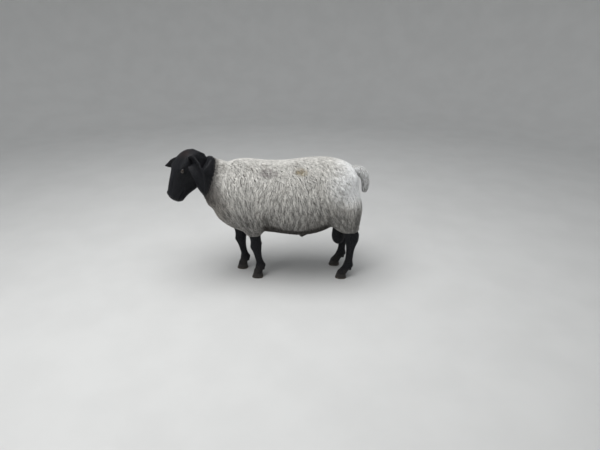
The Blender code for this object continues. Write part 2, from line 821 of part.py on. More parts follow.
def slab(middle, facing, radius):
    """A disc as thin as the gap, which parts two named parts."""
    work = bmesh.new()
    bmesh.ops.create_cone(
        work, cap_ends=True, segments=24, radius1=radius, radius2=radius, depth=GAP
    )
    turn = Vector((0, 0, 1)).rotation_difference(facing).to_matrix().to_4x4()
    bmesh.ops.transform(work, matrix=Matrix.Translation(middle) @ turn, verts=work.verts)
    mesh = bpy.data.meshes.new("slab")
    work.to_mesh(mesh)
    work.free()
    made = bpy.data.objects.new("slab", mesh)
    bpy.context.scene.collection.objects.link(made)
    return made


def leg_cut(foot):
    x, y = FEET[foot]
    if foot.startswith("front"):
        return Vector((x - 0.018, y, FORE_CUT_HEIGHT)), Vector((0, 0, 1)), LEG_CUT_RADIUS
    return Vector((x + 0.040, y, HIND_CUT_HEIGHT)), Vector((0, 0, 1)), LEG_CUT_RADIUS


# Parting the whole animal into its named parts


def loose_parts(made):
    """Splits a mesh into its closed surfaces, each as its own object."""
    work = bmesh.new()
    work.from_mesh(made.data)
    work.verts.ensure_lookup_table()
    seen, groups = set(), []
    for start in work.verts:
        if start.index in seen:
            continue
        stack, group = [start], []
        seen.add(start.index)
        while stack:
            vert = stack.pop()
            group.append(vert.index)
            for edge in vert.link_edges:
                other = edge.other_vert(vert)
                if other.index not in seen:
                    seen.add(other.index)
                    stack.append(other)
        groups.append(set(group))
    parts = []
    for group in groups:
        order = {v: i for i, v in enumerate(sorted(group))}
        points = [work.verts[v].co.copy() for v in sorted(group)]
        faces = [tuple(order[v.index] for v in f.verts) for f in work.faces if f.verts[0].index in group]
        parts.append((points, faces))
    work.free()
    remove(made)
    return parts


def name_parts(parts, landmarks):
    """Gives each landmark's name to the part with the nearest corner, and drops the scraps."""
    best = {}
    for name, place in landmarks.items():
        best[name] = min(
            range(len(parts)), key=lambda i: min((p - place).length_squared for p in parts[i][0])
        )
    if len(set(best.values())) < len(best):
        raise RuntimeError(f"two names share one part: {best}")
    for name, index in best.items():
        mesh_object(name, *parts[index])


def landmarks():
    places = {
        "head": head_place(0.200, 0.0, 0.05),
        "neck": Vector((-0.27, 0.0, 0.79)),
        "torso": Vector((0.20, 0.0, 0.79)),
    }
    for foot, (x, y) in FEET.items():
        places["leg_" + foot] = Vector((x, y, 0.08))
    return places


def material(name, rgb, roughness):
    made = bpy.data.materials.new(name)
    made.use_nodes = True
    shader = made.node_tree.nodes["Principled BSDF"]
    shader.inputs["Base Color"].default_value = (*rgb, 1)
    shader.inputs["Roughness"].default_value = roughness
    shader.inputs["Metallic"].default_value = 0.0
    return made


def paint():
    finishes = {name: material(name, rgb, 0.25 if name == "eye" else 0.85) for name, rgb in COLOURS.items()}
    for made in bpy.context.scene.objects:
        if made.name in ("torso", "neck", "tail"):
            finish = finishes["fleece"]
        elif made.name.startswith("claw"):
            finish = finishes["horn"]
        elif made.name.startswith("eye"):
            finish = finishes["eye"]
        else:
            finish = finishes["black"]
        made.data.materials.clear()
        made.data.materials.append(finish)


def grown(made, thickness):
    """A copy of a closed form with its surface moved out."""
    mesh = made.data.copy()
    normals = [v.normal.copy() for v in mesh.vertices]
    for vert, normal in zip(mesh.vertices, normals):
        vert.co += normal * thickness
    copy = bpy.data.objects.new("grown", mesh)
    bpy.context.scene.collection.objects.link(copy)
    return copy


def cut_clear(made, taken):
    """Cuts a part clear of the space that the body takes, and keeps only its largest closed surface."""
    for one in taken:
        combine(made, [grown(one, 0)], "DIFFERENCE")
    name = made.name
    pieces = loose_parts(made)
    mesh_object(name, *max(pieces, key=lambda piece: extent(piece[0])))


def extent(points):
    return sum(max(p[i] for p in points) - min(p[i] for p in points) for i in range(3))


def centre_on_origin():
    """Moves every part together, so that the middle of the underside is the origin."""
    meshes = [made.data for made in bpy.context.scene.objects]
    places = [v.co for mesh in meshes for v in mesh.vertices]
    middle = [(min(p[i] for p in places) + max(p[i] for p in places)) / 2 for i in (0, 1)]
    for mesh in meshes:
        mesh.transform(Matrix.Translation((-middle[0], -middle[1], 0)))
    return middle


def main():
    for old in list(bpy.data.objects):
        bpy.data.objects.remove(old)
    whole = woolled_form(FLEECE)
    growths = clumps_over(whole)
    decimated(whole, CORE_TRIANGLES)
    head = decimated(head_form(90, 88, 10), HEAD_TRIANGLES)
    growths.append(head)
    growths += [lid_form(side) for side in (1, -1)]
    for foot in FEET:
        table = FORE_LEG if foot.startswith("front") else HIND_LEG
        growths.append(leg_form("leg", table, foot, 0, rings=15, sides=12))
        growths += dewclaws(foot)
    growths.append(pouch_form("sheath", SHEATH, 6, 10))
    combine(whole, growths, "UNION")
    taken = [grown(whole, CLEARANCE), grown(whole, 0)]

    cutters = [slab(*cut) for cut in (HEAD_CUT, NECK_CUT, *map(leg_cut, FEET))]
    cutters += [nostril_cutter(side) for side in (1, -1)]
    cutters += [ball("socket", eye_place(side), EYE_RADIUS + GAP, 14, 9) for side in (1, -1)]
    combine(whole, cutters, "DIFFERENCE")
    name_parts(loose_parts(whole), landmarks())

    for made in (tail_of_clumps(), scrotum_form(), ear_form("left"), ear_form("right")):
        cut_clear(made, taken)
    remove(*taken)
    for side_name, side in (("left", 1), ("right", -1)):
        ball("eye_" + side_name, eye_place(side), EYE_RADIUS, 14, 9)
    for foot in FEET:
        for place, side in (("left", -1), ("right", 1)):
            claw(f"claw_{foot}_{place}", foot, side)
    paint()
    return centre_on_origin()


if __name__ == "__main__":
    main()
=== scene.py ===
"""Looks for a life-size Suffolk ram: one skin, a fleece of wavy locks, short black hair, eyes and hooves.

Metres, +Z up. The ram faces -X and its left side faces -Y. The tables repeat those of the part's own source,
but for the top of the thighs' wool, and every piece is moved by `to_frame()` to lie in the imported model.
"""

import math

import bmesh
import bpy
import numpy as np
from bpy.props import FloatProperty, FloatVectorProperty, PointerProperty
from mathutils import Matrix, Vector
from mathutils.bvhtree import BVHTree


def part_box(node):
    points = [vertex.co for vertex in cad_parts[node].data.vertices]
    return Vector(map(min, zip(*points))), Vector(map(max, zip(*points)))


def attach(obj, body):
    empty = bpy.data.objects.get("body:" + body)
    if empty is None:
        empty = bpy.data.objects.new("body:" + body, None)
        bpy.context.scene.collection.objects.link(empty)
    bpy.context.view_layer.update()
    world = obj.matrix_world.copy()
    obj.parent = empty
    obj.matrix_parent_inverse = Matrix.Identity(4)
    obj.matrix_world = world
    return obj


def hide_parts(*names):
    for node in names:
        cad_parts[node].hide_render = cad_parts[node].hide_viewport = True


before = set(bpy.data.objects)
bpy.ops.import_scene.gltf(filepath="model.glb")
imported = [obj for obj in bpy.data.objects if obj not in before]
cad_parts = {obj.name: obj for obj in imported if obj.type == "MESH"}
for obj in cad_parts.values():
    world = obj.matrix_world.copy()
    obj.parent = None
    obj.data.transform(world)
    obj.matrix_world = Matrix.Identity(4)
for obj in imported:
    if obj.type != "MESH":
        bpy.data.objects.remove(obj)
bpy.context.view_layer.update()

bl_info = {
    "name": "Suffolk ram",
    "version": (1, 0, 0),
    "blender": (4, 5, 0),
    "location": "View3D > Sidebar > Ram",
    "description": "Dresses the packed ram with skin, fleece, hair, eyes and hooves",
    "category": "Object",
}

# How deep the wool is over its core, and the seed of every random draw
FLEECE = 0.034
LEG_WOOL_SHARE = 0.8
TAIL_FLEECE = 0.012
SHEATH_WOOL = 0.007
# The least and the most depth of the wool over a root
WOOL_DEPTHS = (0.008, 0.046)
SEED = 7

# Voxels and counts of the skin's meshes, and the least half width of a section that is set in
CORE_VOXEL = 0.010
TAIL_VOXEL = 0.006
HEAD_VOXEL = 0.0017
LEG_VOXEL = 0.0024
LEG_RINGS = 90
LEG_SIDES = 48
HEAD_COUNTS = (180, 160, 18)
LID_COUNTS = (48, 14)
EAR_COUNTS = (44, 30)
LEAST_HALF = 0.012
SOCKET_ROOM = 0.0002

# The solids that the one skin stands for
FLESH = (
    "head",
    "ear_left",
    "ear_right",
    "neck",
    "torso",
    "tail",
    "scrotum",
    "leg_front_left",
    "leg_front_right",
    "leg_hind_left",
    "leg_hind_right",
)

# A strand's patch on its piece's unwrap, and the sides of its tube
PATCH = 0.003
STRAND_SIDES = 3
# A lock of wool: how far along it lies, how far out of the skin, and its girth there
BACK_LOCK = (
    (0.00, 0.10, 0.60),
    (0.06, 0.80, 0.90),
    (0.36, 1.00, 1.00),
    (0.68, 1.02, 0.80),
    (0.97, 0.98, 0.32),
)
SIDE_LOCK = (
    (0.00, 0.10, 0.60),
    (0.04, 0.75, 0.85),
    (0.18, 0.98, 1.00),
    (0.34, 1.02, 1.00),
    (0.50, 1.02, 0.96),
    (0.66, 1.01, 0.84),
    (0.82, 1.00, 0.64),
    (0.97, 0.98, 0.30),
)
# The share of its depth that the wool loses next to the black head
COLLAR_SINK = 0.70
# How far x, y and z count inside one staple: it is taller than it is wide
STAPLE_STRETCH = (1.0, 1.0, 0.42)
BACK_PIECES = 3
SIDE_PIECES = 5
# A tuft of short hair: how far along it lies and how far out of the skin, and its girth there
HAIR_SHAPE = ((-0.10, -0.08), (0.45, 0.10), (1.0, 0.11))
HAIR_GIRTH = (0.9, 1.0, 0.25)
# Black hair over this height is the head's, and below it the legs' and the scrotum's
HAIR_SPLIT = 0.45
# Heights of the wool's hem on the fore and the hind legs
HEMS = (0.330, 0.362)
# How far behind its foot the middle of a leg is where its wool ends
FORE_HEM_SHIFT = -0.018
HIND_HEM_SHIFT = 0.034
# Wool is a leg's own when it is this near the leg's middle and below this height
LEG_WOOL_REACH = 0.10
LEG_WOOL_TOP = 0.43
# From this shagginess on, a lock is one of the sides'
SIDE_FROM = 0.30
# A claw's wall: its points from heel to toe, and its levels as share of the way down and height
HOOF_STEPS = 24
HOOF_LEVELS = (
    (0.00, 0.0397),
    (0.06, 0.0380),
    (0.20, 0.0320),
    (0.36, 0.0255),
    (0.52, 0.0190),
    (0.68, 0.0125),
    (0.84, 0.0064),
    (0.95, 0.0022),
    (1.00, 0.0000),
)
# The cleaner wool of the rump and the duller wool of the chest: place and half size
CLEAN_RUMP = (0.54, 0.0, 0.650)
CLEAN_REACH = (0.24, 0.40, 0.18)
DULL_CHEST = (-0.33, 0.0, 0.520)
DULL_REACH = (0.20, 0.40, 0.20)
# How far up the sides the dark wool of the belly reaches, dirt with painted shade along the underside: x, and
# height over the lowest wool there
BELLY_DIRT_AND_SHADE_EDGE = ((-0.02, 0.150), (0.05, 0.112), (0.14, 0.094), (0.25, 0.092), (0.30, 0.108), (0.37, 0.110))
# Other darkened wool: dirt with painted shade by the tail, and painted shade in the folds behind the elbow
# and before the thigh: place, half size, strength
SHADES = (
    ((0.592, 0.0, 0.610), (0.026, 0.075, 0.085), 0.85),
    ((0.012, -0.190, 0.450), (0.040, 0.120, 0.080), 0.42),
    ((0.012, 0.190, 0.450), (0.040, 0.120, 0.080), 0.42),
    ((0.392, -0.190, 0.480), (0.022, 0.120, 0.130), 0.38),
    ((0.392, 0.190, 0.480), (0.022, 0.120, 0.130), 0.38),
)
# The brown cast on the poll: its middle in the head's own axes, and its half size
POLL_CAST = (-0.005, 0.0, 0.045)
POLL_CAST_REACH = (0.085, 0.085, 0.045)
# The two faint marks on the left side of the fleece: place, half size, strength and colour
STAINS = (
    ((0.033, -0.134, 0.738), (0.085, 0.110, 0.032), 0.85, (0.200, 0.180, 0.178)),
    ((0.227, -0.139, 0.747), (0.060, 0.110, 0.027), 0.85, (0.290, 0.235, 0.140)),
)

# The studio's round floor, and the wall that it curves up into
FLOOR_REACH = 5.0
WALL_CURVE = 2.5
WALL_HEIGHT = 9.0
WALL_SIDES = 96

# The soft lights: name, place, what each is aimed at, and size
LIGHTS = (
    ("overhead", (-0.4, -0.6, 3.6), (0.0, 0.0, 0.4), 3.2),
    ("front", (-2.6, -3.2, 1.9), (-0.2, 0.0, 0.5), 2.2),
)

# The camera: its place in the tables' coordinates, its tilt and its focal length in pixels
CAMERA_PLACE = (0.22, -2.824, 1.6)
CAMERA_PITCH = 24.0
CAMERA_FOCUS = 470.0
PICTURE_WIDTH = 600.0
SENSOR = 36.0

# The trunk over the wool: x, top, bottom, half width
TRUNK = (
    (-0.335, 0.620, 0.470, 0.060),
    (-0.300, 0.700, 0.405, 0.125),
    (-0.220, 0.770, 0.348, 0.180),
    (-0.120, 0.785, 0.320, 0.208),
    (0.000, 0.773, 0.325, 0.216),
    (0.120, 0.771, 0.311, 0.230),
    (0.220, 0.783, 0.302, 0.236),
    (0.330, 0.794, 0.318, 0.232),
    (0.420, 0.788, 0.362, 0.224),
    (0.500, 0.766, 0.420, 0.200),
    (0.556, 0.732, 0.480, 0.150),
    (0.582, 0.690, 0.540, 0.090),
)

# The neck over the wool: x, y, z of its middle, half height, half width
NECK = (
    (-0.130, 0.000, 0.560, 0.185, 0.165),
    (-0.210, 0.000, 0.595, 0.172, 0.155),
    (-0.295, -0.012, 0.637, 0.152, 0.138),
    (-0.345, -0.032, 0.695, 0.129, 0.116),
    (-0.395, -0.052, 0.754, 0.112, 0.094),
)

# The feet: x and y of the middle of each hoof
FEET = {
    "front_left": (-0.052, -0.080),
    "front_right": (-0.166, 0.048),
    "hind_left": (0.503, -0.088),
    "hind_right": (0.470, 0.092),
}

# A fore leg's wool: height, x and outward shift from the foot, half depth, half width
FORE_WOOL = (
    (0.600, -0.010, 0.050, 0.120, 0.075),
    (0.480, -0.020, 0.044, 0.105, 0.074),
    (0.400, -0.026, 0.024, 0.084, 0.064),
    (0.345, -0.026, 0.008, 0.062, 0.054),
    (0.315, -0.025, 0.002, 0.048, 0.046),
)

# A hind leg's wool, in the same terms
HIND_WOOL = (
    (0.640, -0.036, 0.026, 0.106, 0.070),
    (0.540, -0.022, 0.043, 0.123, 0.084),
    (0.450, -0.012, 0.040, 0.108, 0.078),
    (0.390, 0.006, 0.022, 0.086, 0.062),
    (0.345, 0.028, 0.008, 0.062, 0.048),
)

# A fore leg's bare part, in the same terms
FORE_LEG = (
    (0.400, -0.026, 0.020, 0.0492, 0.0385),
    (0.340, -0.024, 0.006, 0.0407, 0.0332),
    (0.280, -0.016, 0.002, 0.0342, 0.0300),
    (0.245, -0.014, 0.000, 0.0332, 0.0310),
    (0.220, -0.014, 0.000, 0.0342, 0.0321),
    (0.190, -0.009, 0.000, 0.0268, 0.0268),
    (0.150, -0.002, 0.000, 0.0225, 0.0214),
    (0.115, 0.006, 0.000, 0.0235, 0.0214),
    (0.088, 0.010, 0.000, 0.0310, 0.0289),
    (0.070, 0.004, 0.000, 0.0289, 0.0289),
    (0.052, -0.004, 0.000, 0.0310, 0.0310),
    (0.040, -0.008, 0.000, 0.032, 0.031),
)

# A hind leg's bare part, in the same terms
HIND_LEG = (
    (0.440, -0.012, 0.020, 0.0790, 0.0490),
    (0.380, 0.014, 0.012, 0.0590, 0.0410),
    (0.335, 0.037, 0.004, 0.0465, 0.0350),
    (0.300, 0.049, 0.000, 0.0450, 0.0335),
    (0.270, 0.050, 0.000, 0.0415, 0.0325),
    (0.235, 0.047, 0.000, 0.0310, 0.0278),
    (0.190, 0.043, 0.000, 0.0246, 0.0235),
    (0.130, 0.038, 0.000, 0.0246, 0.0225),
    (0.092, 0.033, 0.000, 0.0321, 0.0289),
    (0.072, 0.020, 0.000, 0.0300, 0.0289),
    (0.052, 0.004, 0.000, 0.0310, 0.0310),
    (0.040, -0.004, 0.000, 0.032, 0.031),
)

# The head: where its axis starts, which way it faces, and its sections
HEAD_START = Vector((-0.450, -0.070, 0.829))
HEAD_YAW = 36.0
HEAD_PITCH = 60.5
HEAD_ROLL = 3.0
HEAD_LENGTH = 0.300
# How much of the length in its tables the head has
HEAD_SHORT = 0.95
MUZZLE_DOME = 0.262
# Along the axis, top, bottom, height of the widest place, half width, squareness above and below
HEAD = (
    (-0.050, -0.010, -0.084, -0.040, 0.038, 2.0, 2.0),
    (-0.030, 0.022, -0.112, -0.025, 0.056, 2.1, 2.0),
    (0.000, 0.042, -0.138, -0.008, 0.068, 2.3, 1.9),
    (0.030, 0.053, -0.153, 0.002, 0.075, 2.4, 1.8),
    (0.070, 0.058, -0.160, 0.010, 0.077, 2.6, 1.8),
    (0.105, 0.058, -0.156, 0.012, 0.073, 2.7, 1.8),
    (0.145, 0.055, -0.142, 0.002, 0.062, 2.6, 1.8),
    (0.185, 0.050, -0.118, -0.008, 0.054, 2.5, 1.9),
    (0.225, 0.042, -0.091, -0.012, 0.051, 2.4, 2.1),
    (0.262, 0.031, -0.073, -0.014, 0.050, 2.4, 2.3),
)
MOUTH_FRONT = -0.026
MOUTH_CORNER = 0.206
# Behind this place on the axis the mouth's line falls by this much for each metre
MOUTH_BEND = 0.268
MOUTH_FALL = 0.14
# What stands out of the head's plain section or sinks into it: by how much, and the middle and the width
# of each along the axis, up from it and out to the side
HEAD_RELIEF = {
    "brow": (0.0095, (0.090, 0.026), (0.050, 0.016), (0.062, 0.022)),
    "cheek": (0.006, (0.070, 0.040), (-0.060, 0.040), (0.060, 0.03)),
    "hollow before the eye": (-0.0040, (0.135, 0.018), (0.020, 0.014), (0.058, 0.025)),
    "nostrils": (0.0065, (0.268, 0.016), (0.016, 0.013), (0.032, 0.013)),
    "groove of the nose": (-0.0045, (0.285, 0.018), (0.004, 0.016), (0.0, 0.0035)),
    "chin": (0.0040, (0.250, 0.025), (-0.052, 0.012), (0.0, 0.026)),
}

# The eyes, in the head's own axes: along, outward, up
EYE = (0.098, 0.0640, 0.030)
EYE_RADIUS = 0.0158
EYE_HALF_OPENING = (0.0135, 0.0088)
# How much of outward, up and along is in the way an eye looks
GAZE = (0.93, 0.28, 0.22)
# The lids: how much further than the opening their middle lies, along and up, and how thick they are
LID_STRETCH = (1.14, 1.22)
UPPER_LID = 0.0036
LOWER_LID = 0.0030
PUPIL_HALF = (0.0062, 0.0026)
PUPIL_COLOUR = (0.002, 0.002, 0.003)
# From where to where the iris darkens, and where it ends
IRIS_RIM = (0.0084, 0.0116)
IRIS_RIM_COLOUR = (0.012, 0.008, 0.006)
IRIS_END = (0.0118, 0.0126)

# The ears: root, knee and tip. The first is in the head's own axes, the others are shifts in the room's
EAR_ROOT = (0.018, 0.060, -0.012)
EAR_SHIFTS = {
    "left": ((0.022, -0.052, 0.002), (0.056, -0.090, -0.066), (0.074, -0.094, -0.174)),
    "right": ((-0.030, 0.042, -0.014), (-0.098, 0.078, -0.056), (-0.158, 0.086, -0.080)),
}
EAR_CUP = {"left": (-0.30, -0.92, 0.10), "right": (-0.42, -0.60, -0.68)}
EAR_HALF_WIDTH = 0.042
# How far along an ear the lie of its hair is evened out
EAR_BLEND = 0.030
EAR_THICKNESS = 0.0042

# The tail over the wool: x, y, z, half depth and half width
TAIL = (
    (0.530, 0.000, 0.705, 0.040, 0.044),
    (0.580, 0.000, 0.715, 0.036, 0.040),
    (0.615, 0.000, 0.698, 0.030, 0.036),
    (0.632, 0.000, 0.655, 0.026, 0.034),
    (0.634, 0.000, 0.612, 0.023, 0.031),
    (0.628, 0.000, 0.578, 0.016, 0.022),
)

# Where the black head meets the fleece: a place there, and the way towards the head
HEAD_CUT = (Vector((-0.350, -0.038, 0.715)), Vector((-0.88, -0.32, 0.35)).normalized())
# How far ahead of that place the short hair begins, the wool ends and the under-wool ends
HAIR_EDGE = -0.018
WOOL_EDGE = -0.008
UNDER_WOOL_EDGE = -0.050

# The dewclaws: half sizes, height, how far apart, and how far behind the foot
DEWCLAW_SIZE = (0.010, 0.0075, 0.012)
DEWCLAW_HEIGHT = 0.072
DEWCLAW_ASIDE = 0.013
FORE_DEWCLAW = 0.030
HIND_DEWCLAW = 0.048

# The hooves: each is two claws
CORONET = 0.040
CLAW_TOE = 0.046
CLAW_HEEL = 0.030
CLAW_WIDTH = 0.0265
CLAW_CLEFT = 0.0016
# A claw's reach to toe and heel at the coronet, and the height of the rounding at the ground
CROWN_TOE = 0.030
CROWN_HEEL = 0.026
CLAW_EDGE = 0.0022

# The sheath under the belly and the scrotum between the thighs: x, y, z, half depth, half width
SHEATH = (
    (0.330, 0.000, 0.328, 0.022, 0.032),
    (0.270, 0.000, 0.304, 0.021, 0.028),
    (0.236, 0.000, 0.282, 0.017, 0.020),
    (0.227, 0.000, 0.266, 0.010, 0.012),
)
SCROTUM = (
    (0.462, 0.003, 0.400, 0.034, 0.036),
    (0.466, 0.003, 0.355, 0.030, 0.034),
    (0.472, 0.003, 0.305, 0.038, 0.043),
    (0.474, 0.003, 0.265, 0.042, 0.048),
    (0.472, 0.003, 0.232, 0.034, 0.040),
    (0.470, 0.003, 0.214, 0.016, 0.020),
)


# Small tools


def curve_through(rows, count):
    """`count` rows along a smooth curve through the table's rows, evenly spaced in the row number."""
    rows = np.array(rows, float)
    at = np.linspace(0, len(rows) - 1, count)
    return spline(np.arange(len(rows)), rows, at)


def spline(keys, rows, at):
    """Cubic curve through rows at the given keys, with slopes from each row's neighbours."""
    keys = np.array(keys, float)
    rows = np.array(rows, float)
    steps = np.diff(keys)[:, None]
    slopes = np.diff(rows, axis=0) / steps
    tangents = np.vstack([slopes[:1], (slopes[:-1] + slopes[1:]) / 2, slopes[-1:]])
    place = np.clip(np.searchsorted(keys, at, side="right") - 1, 0, len(keys) - 2)
    t = ((at - keys[place]) / steps[place, 0])[:, None]
    width = steps[place]
    return (
        (2 * t**3 - 3 * t**2 + 1) * rows[place]
        + (t**3 - 2 * t**2 + t) * width * tangents[place]
        + (3 * t**2 - 2 * t**3) * rows[place + 1]
        + (t**3 - t**2) * width * tangents[place + 1]
    )


def ring(centre, side, up, half_width, half_top, half_bottom, power_top, power_bottom, count):
    """A closed section: its points go round from the top through the `side` direction."""
    points = []
    for k in range(count):
        angle = 2 * math.pi * k / count
        power = power_top if math.cos(angle) >= 0 else power_bottom
        half = half_top if math.cos(angle) >= 0 else half_bottom
        across = math.copysign(abs(math.sin(angle)) ** (2 / power), math.sin(angle))
        along = math.copysign(abs(math.cos(angle)) ** (2 / power), math.cos(angle))
        points.append(centre + side * (half_width * across) + up * (half * along))
    return points


def way_along(rows, i):
    """The way a curve runs at one of its rows, from the rows before and after it."""
    return Vector(rows[min(i + 1, len(rows) - 1)][:3] - rows[max(i - 1, 0)][:3]).normalized()


def linked(name, data):
    """A new object in the scene."""
    made = bpy.data.objects.new(name, data)
    bpy.context.scene.collection.objects.link(made)
    return made


def mesh_object(name, points, faces):
    mesh = bpy.data.meshes.new(name)
    mesh.from_pydata([tuple(p) for p in points], [], faces)
    mesh.update()
    return linked(name, mesh)


def loft(name, rings, end=None):
    """A closed solid through rings of equal length, closed at the middle of the first and the last ring,
    or at `end`."""
    count = len(rings[0])
    points = [p for one in rings for p in one]
    faces = []
    for r in range(len(rings) - 1):
        for k in range(count):
            a = r * count + k
            b = r * count + (k + 1) % count
            faces.append((a, b, b + count, a + count))
    for last, pole in ((False, None), (True, end)):
        edge = rings[-1] if last else rings[0]
        points.append(pole if pole is not None else sum(edge, Vector()) / count)
        first = (len(rings) - 1) * count if last else 0
        for k in range(count):
            a, b = first + k, first + (k + 1) % count
            faces.append((b, a, len(points) - 1) if not last else (a, b, len(points) - 1))
    made = mesh_object(name, points, faces)
    face_outwards(made)
    return made


def face_outwards(made):
    work = bmesh.new()
    work.from_mesh(made.data)
    bmesh.ops.recalc_face_normals(work, faces=work.faces)
    if work.calc_volume(signed=True) < 0:
        bmesh.ops.reverse_faces(work, faces=work.faces)
    work.to_mesh(made.data)
    work.free()


def apply_modifiers(made):
    """Bakes the object's modifiers into its mesh."""
    graph = bpy.context.evaluated_depsgraph_get()
    mesh = bpy.data.meshes.new_from_object(made.evaluated_get(graph))
    made.modifiers.clear()
    made.data = mesh


def remove(*objects):
    for one in objects:
        bpy.data.objects.remove(one)


def combine(made, others, operation):
    """One Boolean of `made` with every solid in `others`, which it uses up."""
    group = bpy.data.collections.new("group")
    bpy.context.scene.collection.children.link(group)
    for one in others:
        group.objects.link(one)
    step = made.modifiers.new(operation, "BOOLEAN")
    step.operation = operation
    step.solver = "MANIFOLD"
    step.operand_type = "COLLECTION"
    step.collection = group
    apply_modifiers(made)
    remove(*others)
    bpy.data.collections.remove(group)
    return made


def remeshed(made, voxel, smoothings):
    step = made.modifiers.new("remesh", "REMESH")
    step.mode = "VOXEL"
    step.voxel_size = voxel
    step = made.modifiers.new("smooth", "SMOOTH")
    step.factor = 0.5
    step.iterations = smoothings
    apply_modifiers(made)
    return made


def smoothed(made):
    made.data.polygons.foreach_set("use_smooth", np.ones(len(made.data.polygons), bool))
    return made


def joined(name, pieces):
    """Several meshes as one object, still overlapping."""
    points, faces = [], []
    for one in pieces:
        first = len(points)
        points += [one.matrix_world @ v.co for v in one.data.vertices]
        faces += [tuple(first + i for i in p.vertices) for p in one.data.polygons]
    remove(*pieces)
    return mesh_object(name, points, faces)


# The body under the wool


def trunk_form(inset):
    """The trunk as upright sections from the chest to the rump."""
    rows = curve_through(TRUNK, 26)
    rings = []
    for x, top, bottom, half in rows:
        middle = top * 0.5 + bottom * 0.5
        tall = max((top - bottom) / 2 - inset, LEAST_HALF)
        wide = max(half - inset, LEAST_HALF)
        centre = Vector((x, 0, middle))
        rings.append(ring(centre, Vector((0, 1, 0)), Vector((0, 0, 1)), wide, tall, tall, 2.3, 2.2, 28))
    return loft("trunk", rings)


def neck_form(inset):
    """The neck as sections across its line, set in less towards the head."""
    rows = curve_through(NECK, 12)
    rings = []
    for i, row in enumerate(rows):
        centre = Vector(row[:3])
        ahead = way_along(rows, i)
        side = Vector((0, 0, 1)).cross(ahead).normalized()
        up = ahead.cross(side)
        thin = inset * (1 - 0.6 * (i / (len(rows) - 1)) ** 2)
        tall, wide = row[3] - thin, row[4] - thin
        rings.append(ring(centre, side, up, wide, tall, tall, 2.1, 2.0, 24))
    return loft("neck", rings)


def leg_form(name, table, foot, inset, rings=10, sides=18, squareness=2.2):
    """A leg or its wool as flat sections one above the other, from a table of heights."""
    x, y = FEET[foot]
    outward = -1 if foot.endswith("left") else 1
    rows = curve_through(table, rings)
    made = []
    for height, shift, out, depth, width in rows:
        centre = Vector((x + shift, y + outward * out, height))
        deep, wide = max(depth - inset, LEAST_HALF), max(width - inset, LEAST_HALF)
        across, ahead = Vector((0, 1, 0)), Vector((1, 0, 0))
        made.append(ring(centre, across, ahead, wide, deep, deep, squareness, squareness, sides))
    return loft(name, made)


def hanging_form(name, table, rings, sides, inset=0.0, least=0.004):
    """Tail, sheath or scrotum as round sections from a table of places, half depths and half widths."""
    rows = curve_through(table, rings)
    made = []
    side = Vector((0, 1, 0))
    for i, row in enumerate(rows):
        up = way_along(rows, i).cross(side).normalized()
        deep, wide = max(row[3] - inset, least), max(row[4] - inset, least)
        made.append(ring(Vector(row[:3]), side, up, wide, deep, deep, 2, 2, sides))
    return loft(name, made)


def tail_form(inset):
    return remeshed(hanging_form("tail", TAIL, 10, 12, inset, 0.006), TAIL_VOXEL, 4)


def sheath_form(inset):
    return hanging_form("sheath", SHEATH, 14, 24, inset)


def woolled_form(inset):
    """Trunk, neck and upper legs as one smooth closed form, set in by `inset` from the wool's tips."""
    pieces = [trunk_form(inset), neck_form(inset)]
    for foot in FEET:
        table = FORE_WOOL if foot.startswith("front") else HIND_WOOL
        pieces.append(leg_form("upper_" + foot, table, foot, inset * LEG_WOOL_SHARE))
    return remeshed(joined("body", pieces), CORE_VOXEL, 14)


def tree_of(made):
    points = [v.co.copy() for v in made.data.vertices]
    return BVHTree.FromPolygons(points, [tuple(p.vertices) for p in made.data.polygons])


# The head


def head_axes():
    """The head's own directions: towards the muzzle, to its left, and out of the forehead."""
    yaw, pitch = math.radians(HEAD_YAW), math.radians(HEAD_PITCH)
    along = Vector(
        (-math.cos(pitch) * math.cos(yaw), -math.cos(pitch) * math.sin(yaw), -math.sin(pitch))
    )
    left = Vector((math.sin(yaw), -math.cos(yaw), 0))
    up = left.cross(along)
    if up.z < 0:
        up = -up
    turn = Matrix.Rotation(math.radians(HEAD_ROLL), 3, along)
    return along, turn @ left, turn @ up


def head_place(along, left, up):
    a, l, u = head_axes()
    return HEAD_START + a * along * HEAD_SHORT + l * left + u * up


def head_frame(points):
    """Places in the head's own terms: along it as its tables count, to its left, and up."""
    local = points - np.array(HEAD_START)
    along, left, up = (np.array(v) for v in head_axes())
    return local @ along / HEAD_SHORT, local @ left, local @ up


def bump(value, middle, width):
    return math.exp(-(((value - middle) / width) ** 2))


def head_relief(s, across, up):
    """How far the skin stands out from the plain section: the forms of the relief, and the lips."""
    side = abs(across)
    out = 0.0
    for rise, lengthwise, upwards, sideways in HEAD_RELIEF.values():
        out += rise * bump(s, *lengthwise) * bump(up, *upwards) * bump(side, *sideways)
    if s > MOUTH_CORNER - 0.006:
        lip = mouth_height(s)
        share = min(1.0, (s - MOUTH_CORNER + 0.006) / 0.012)
        out -= 0.0060 * share * bump(up, lip, 0.0030)
        out += 0.0026 * share * (bump(up, lip + 0.0095, 0.006) + bump(up, lip - 0.0095, 0.006))
    return out


def mouth_height(s):
    """The mouth's line runs back and down a little from the front of the lips."""
    return MOUTH_FRONT - MOUTH_FALL * np.maximum(MOUTH_BEND - s, 0)


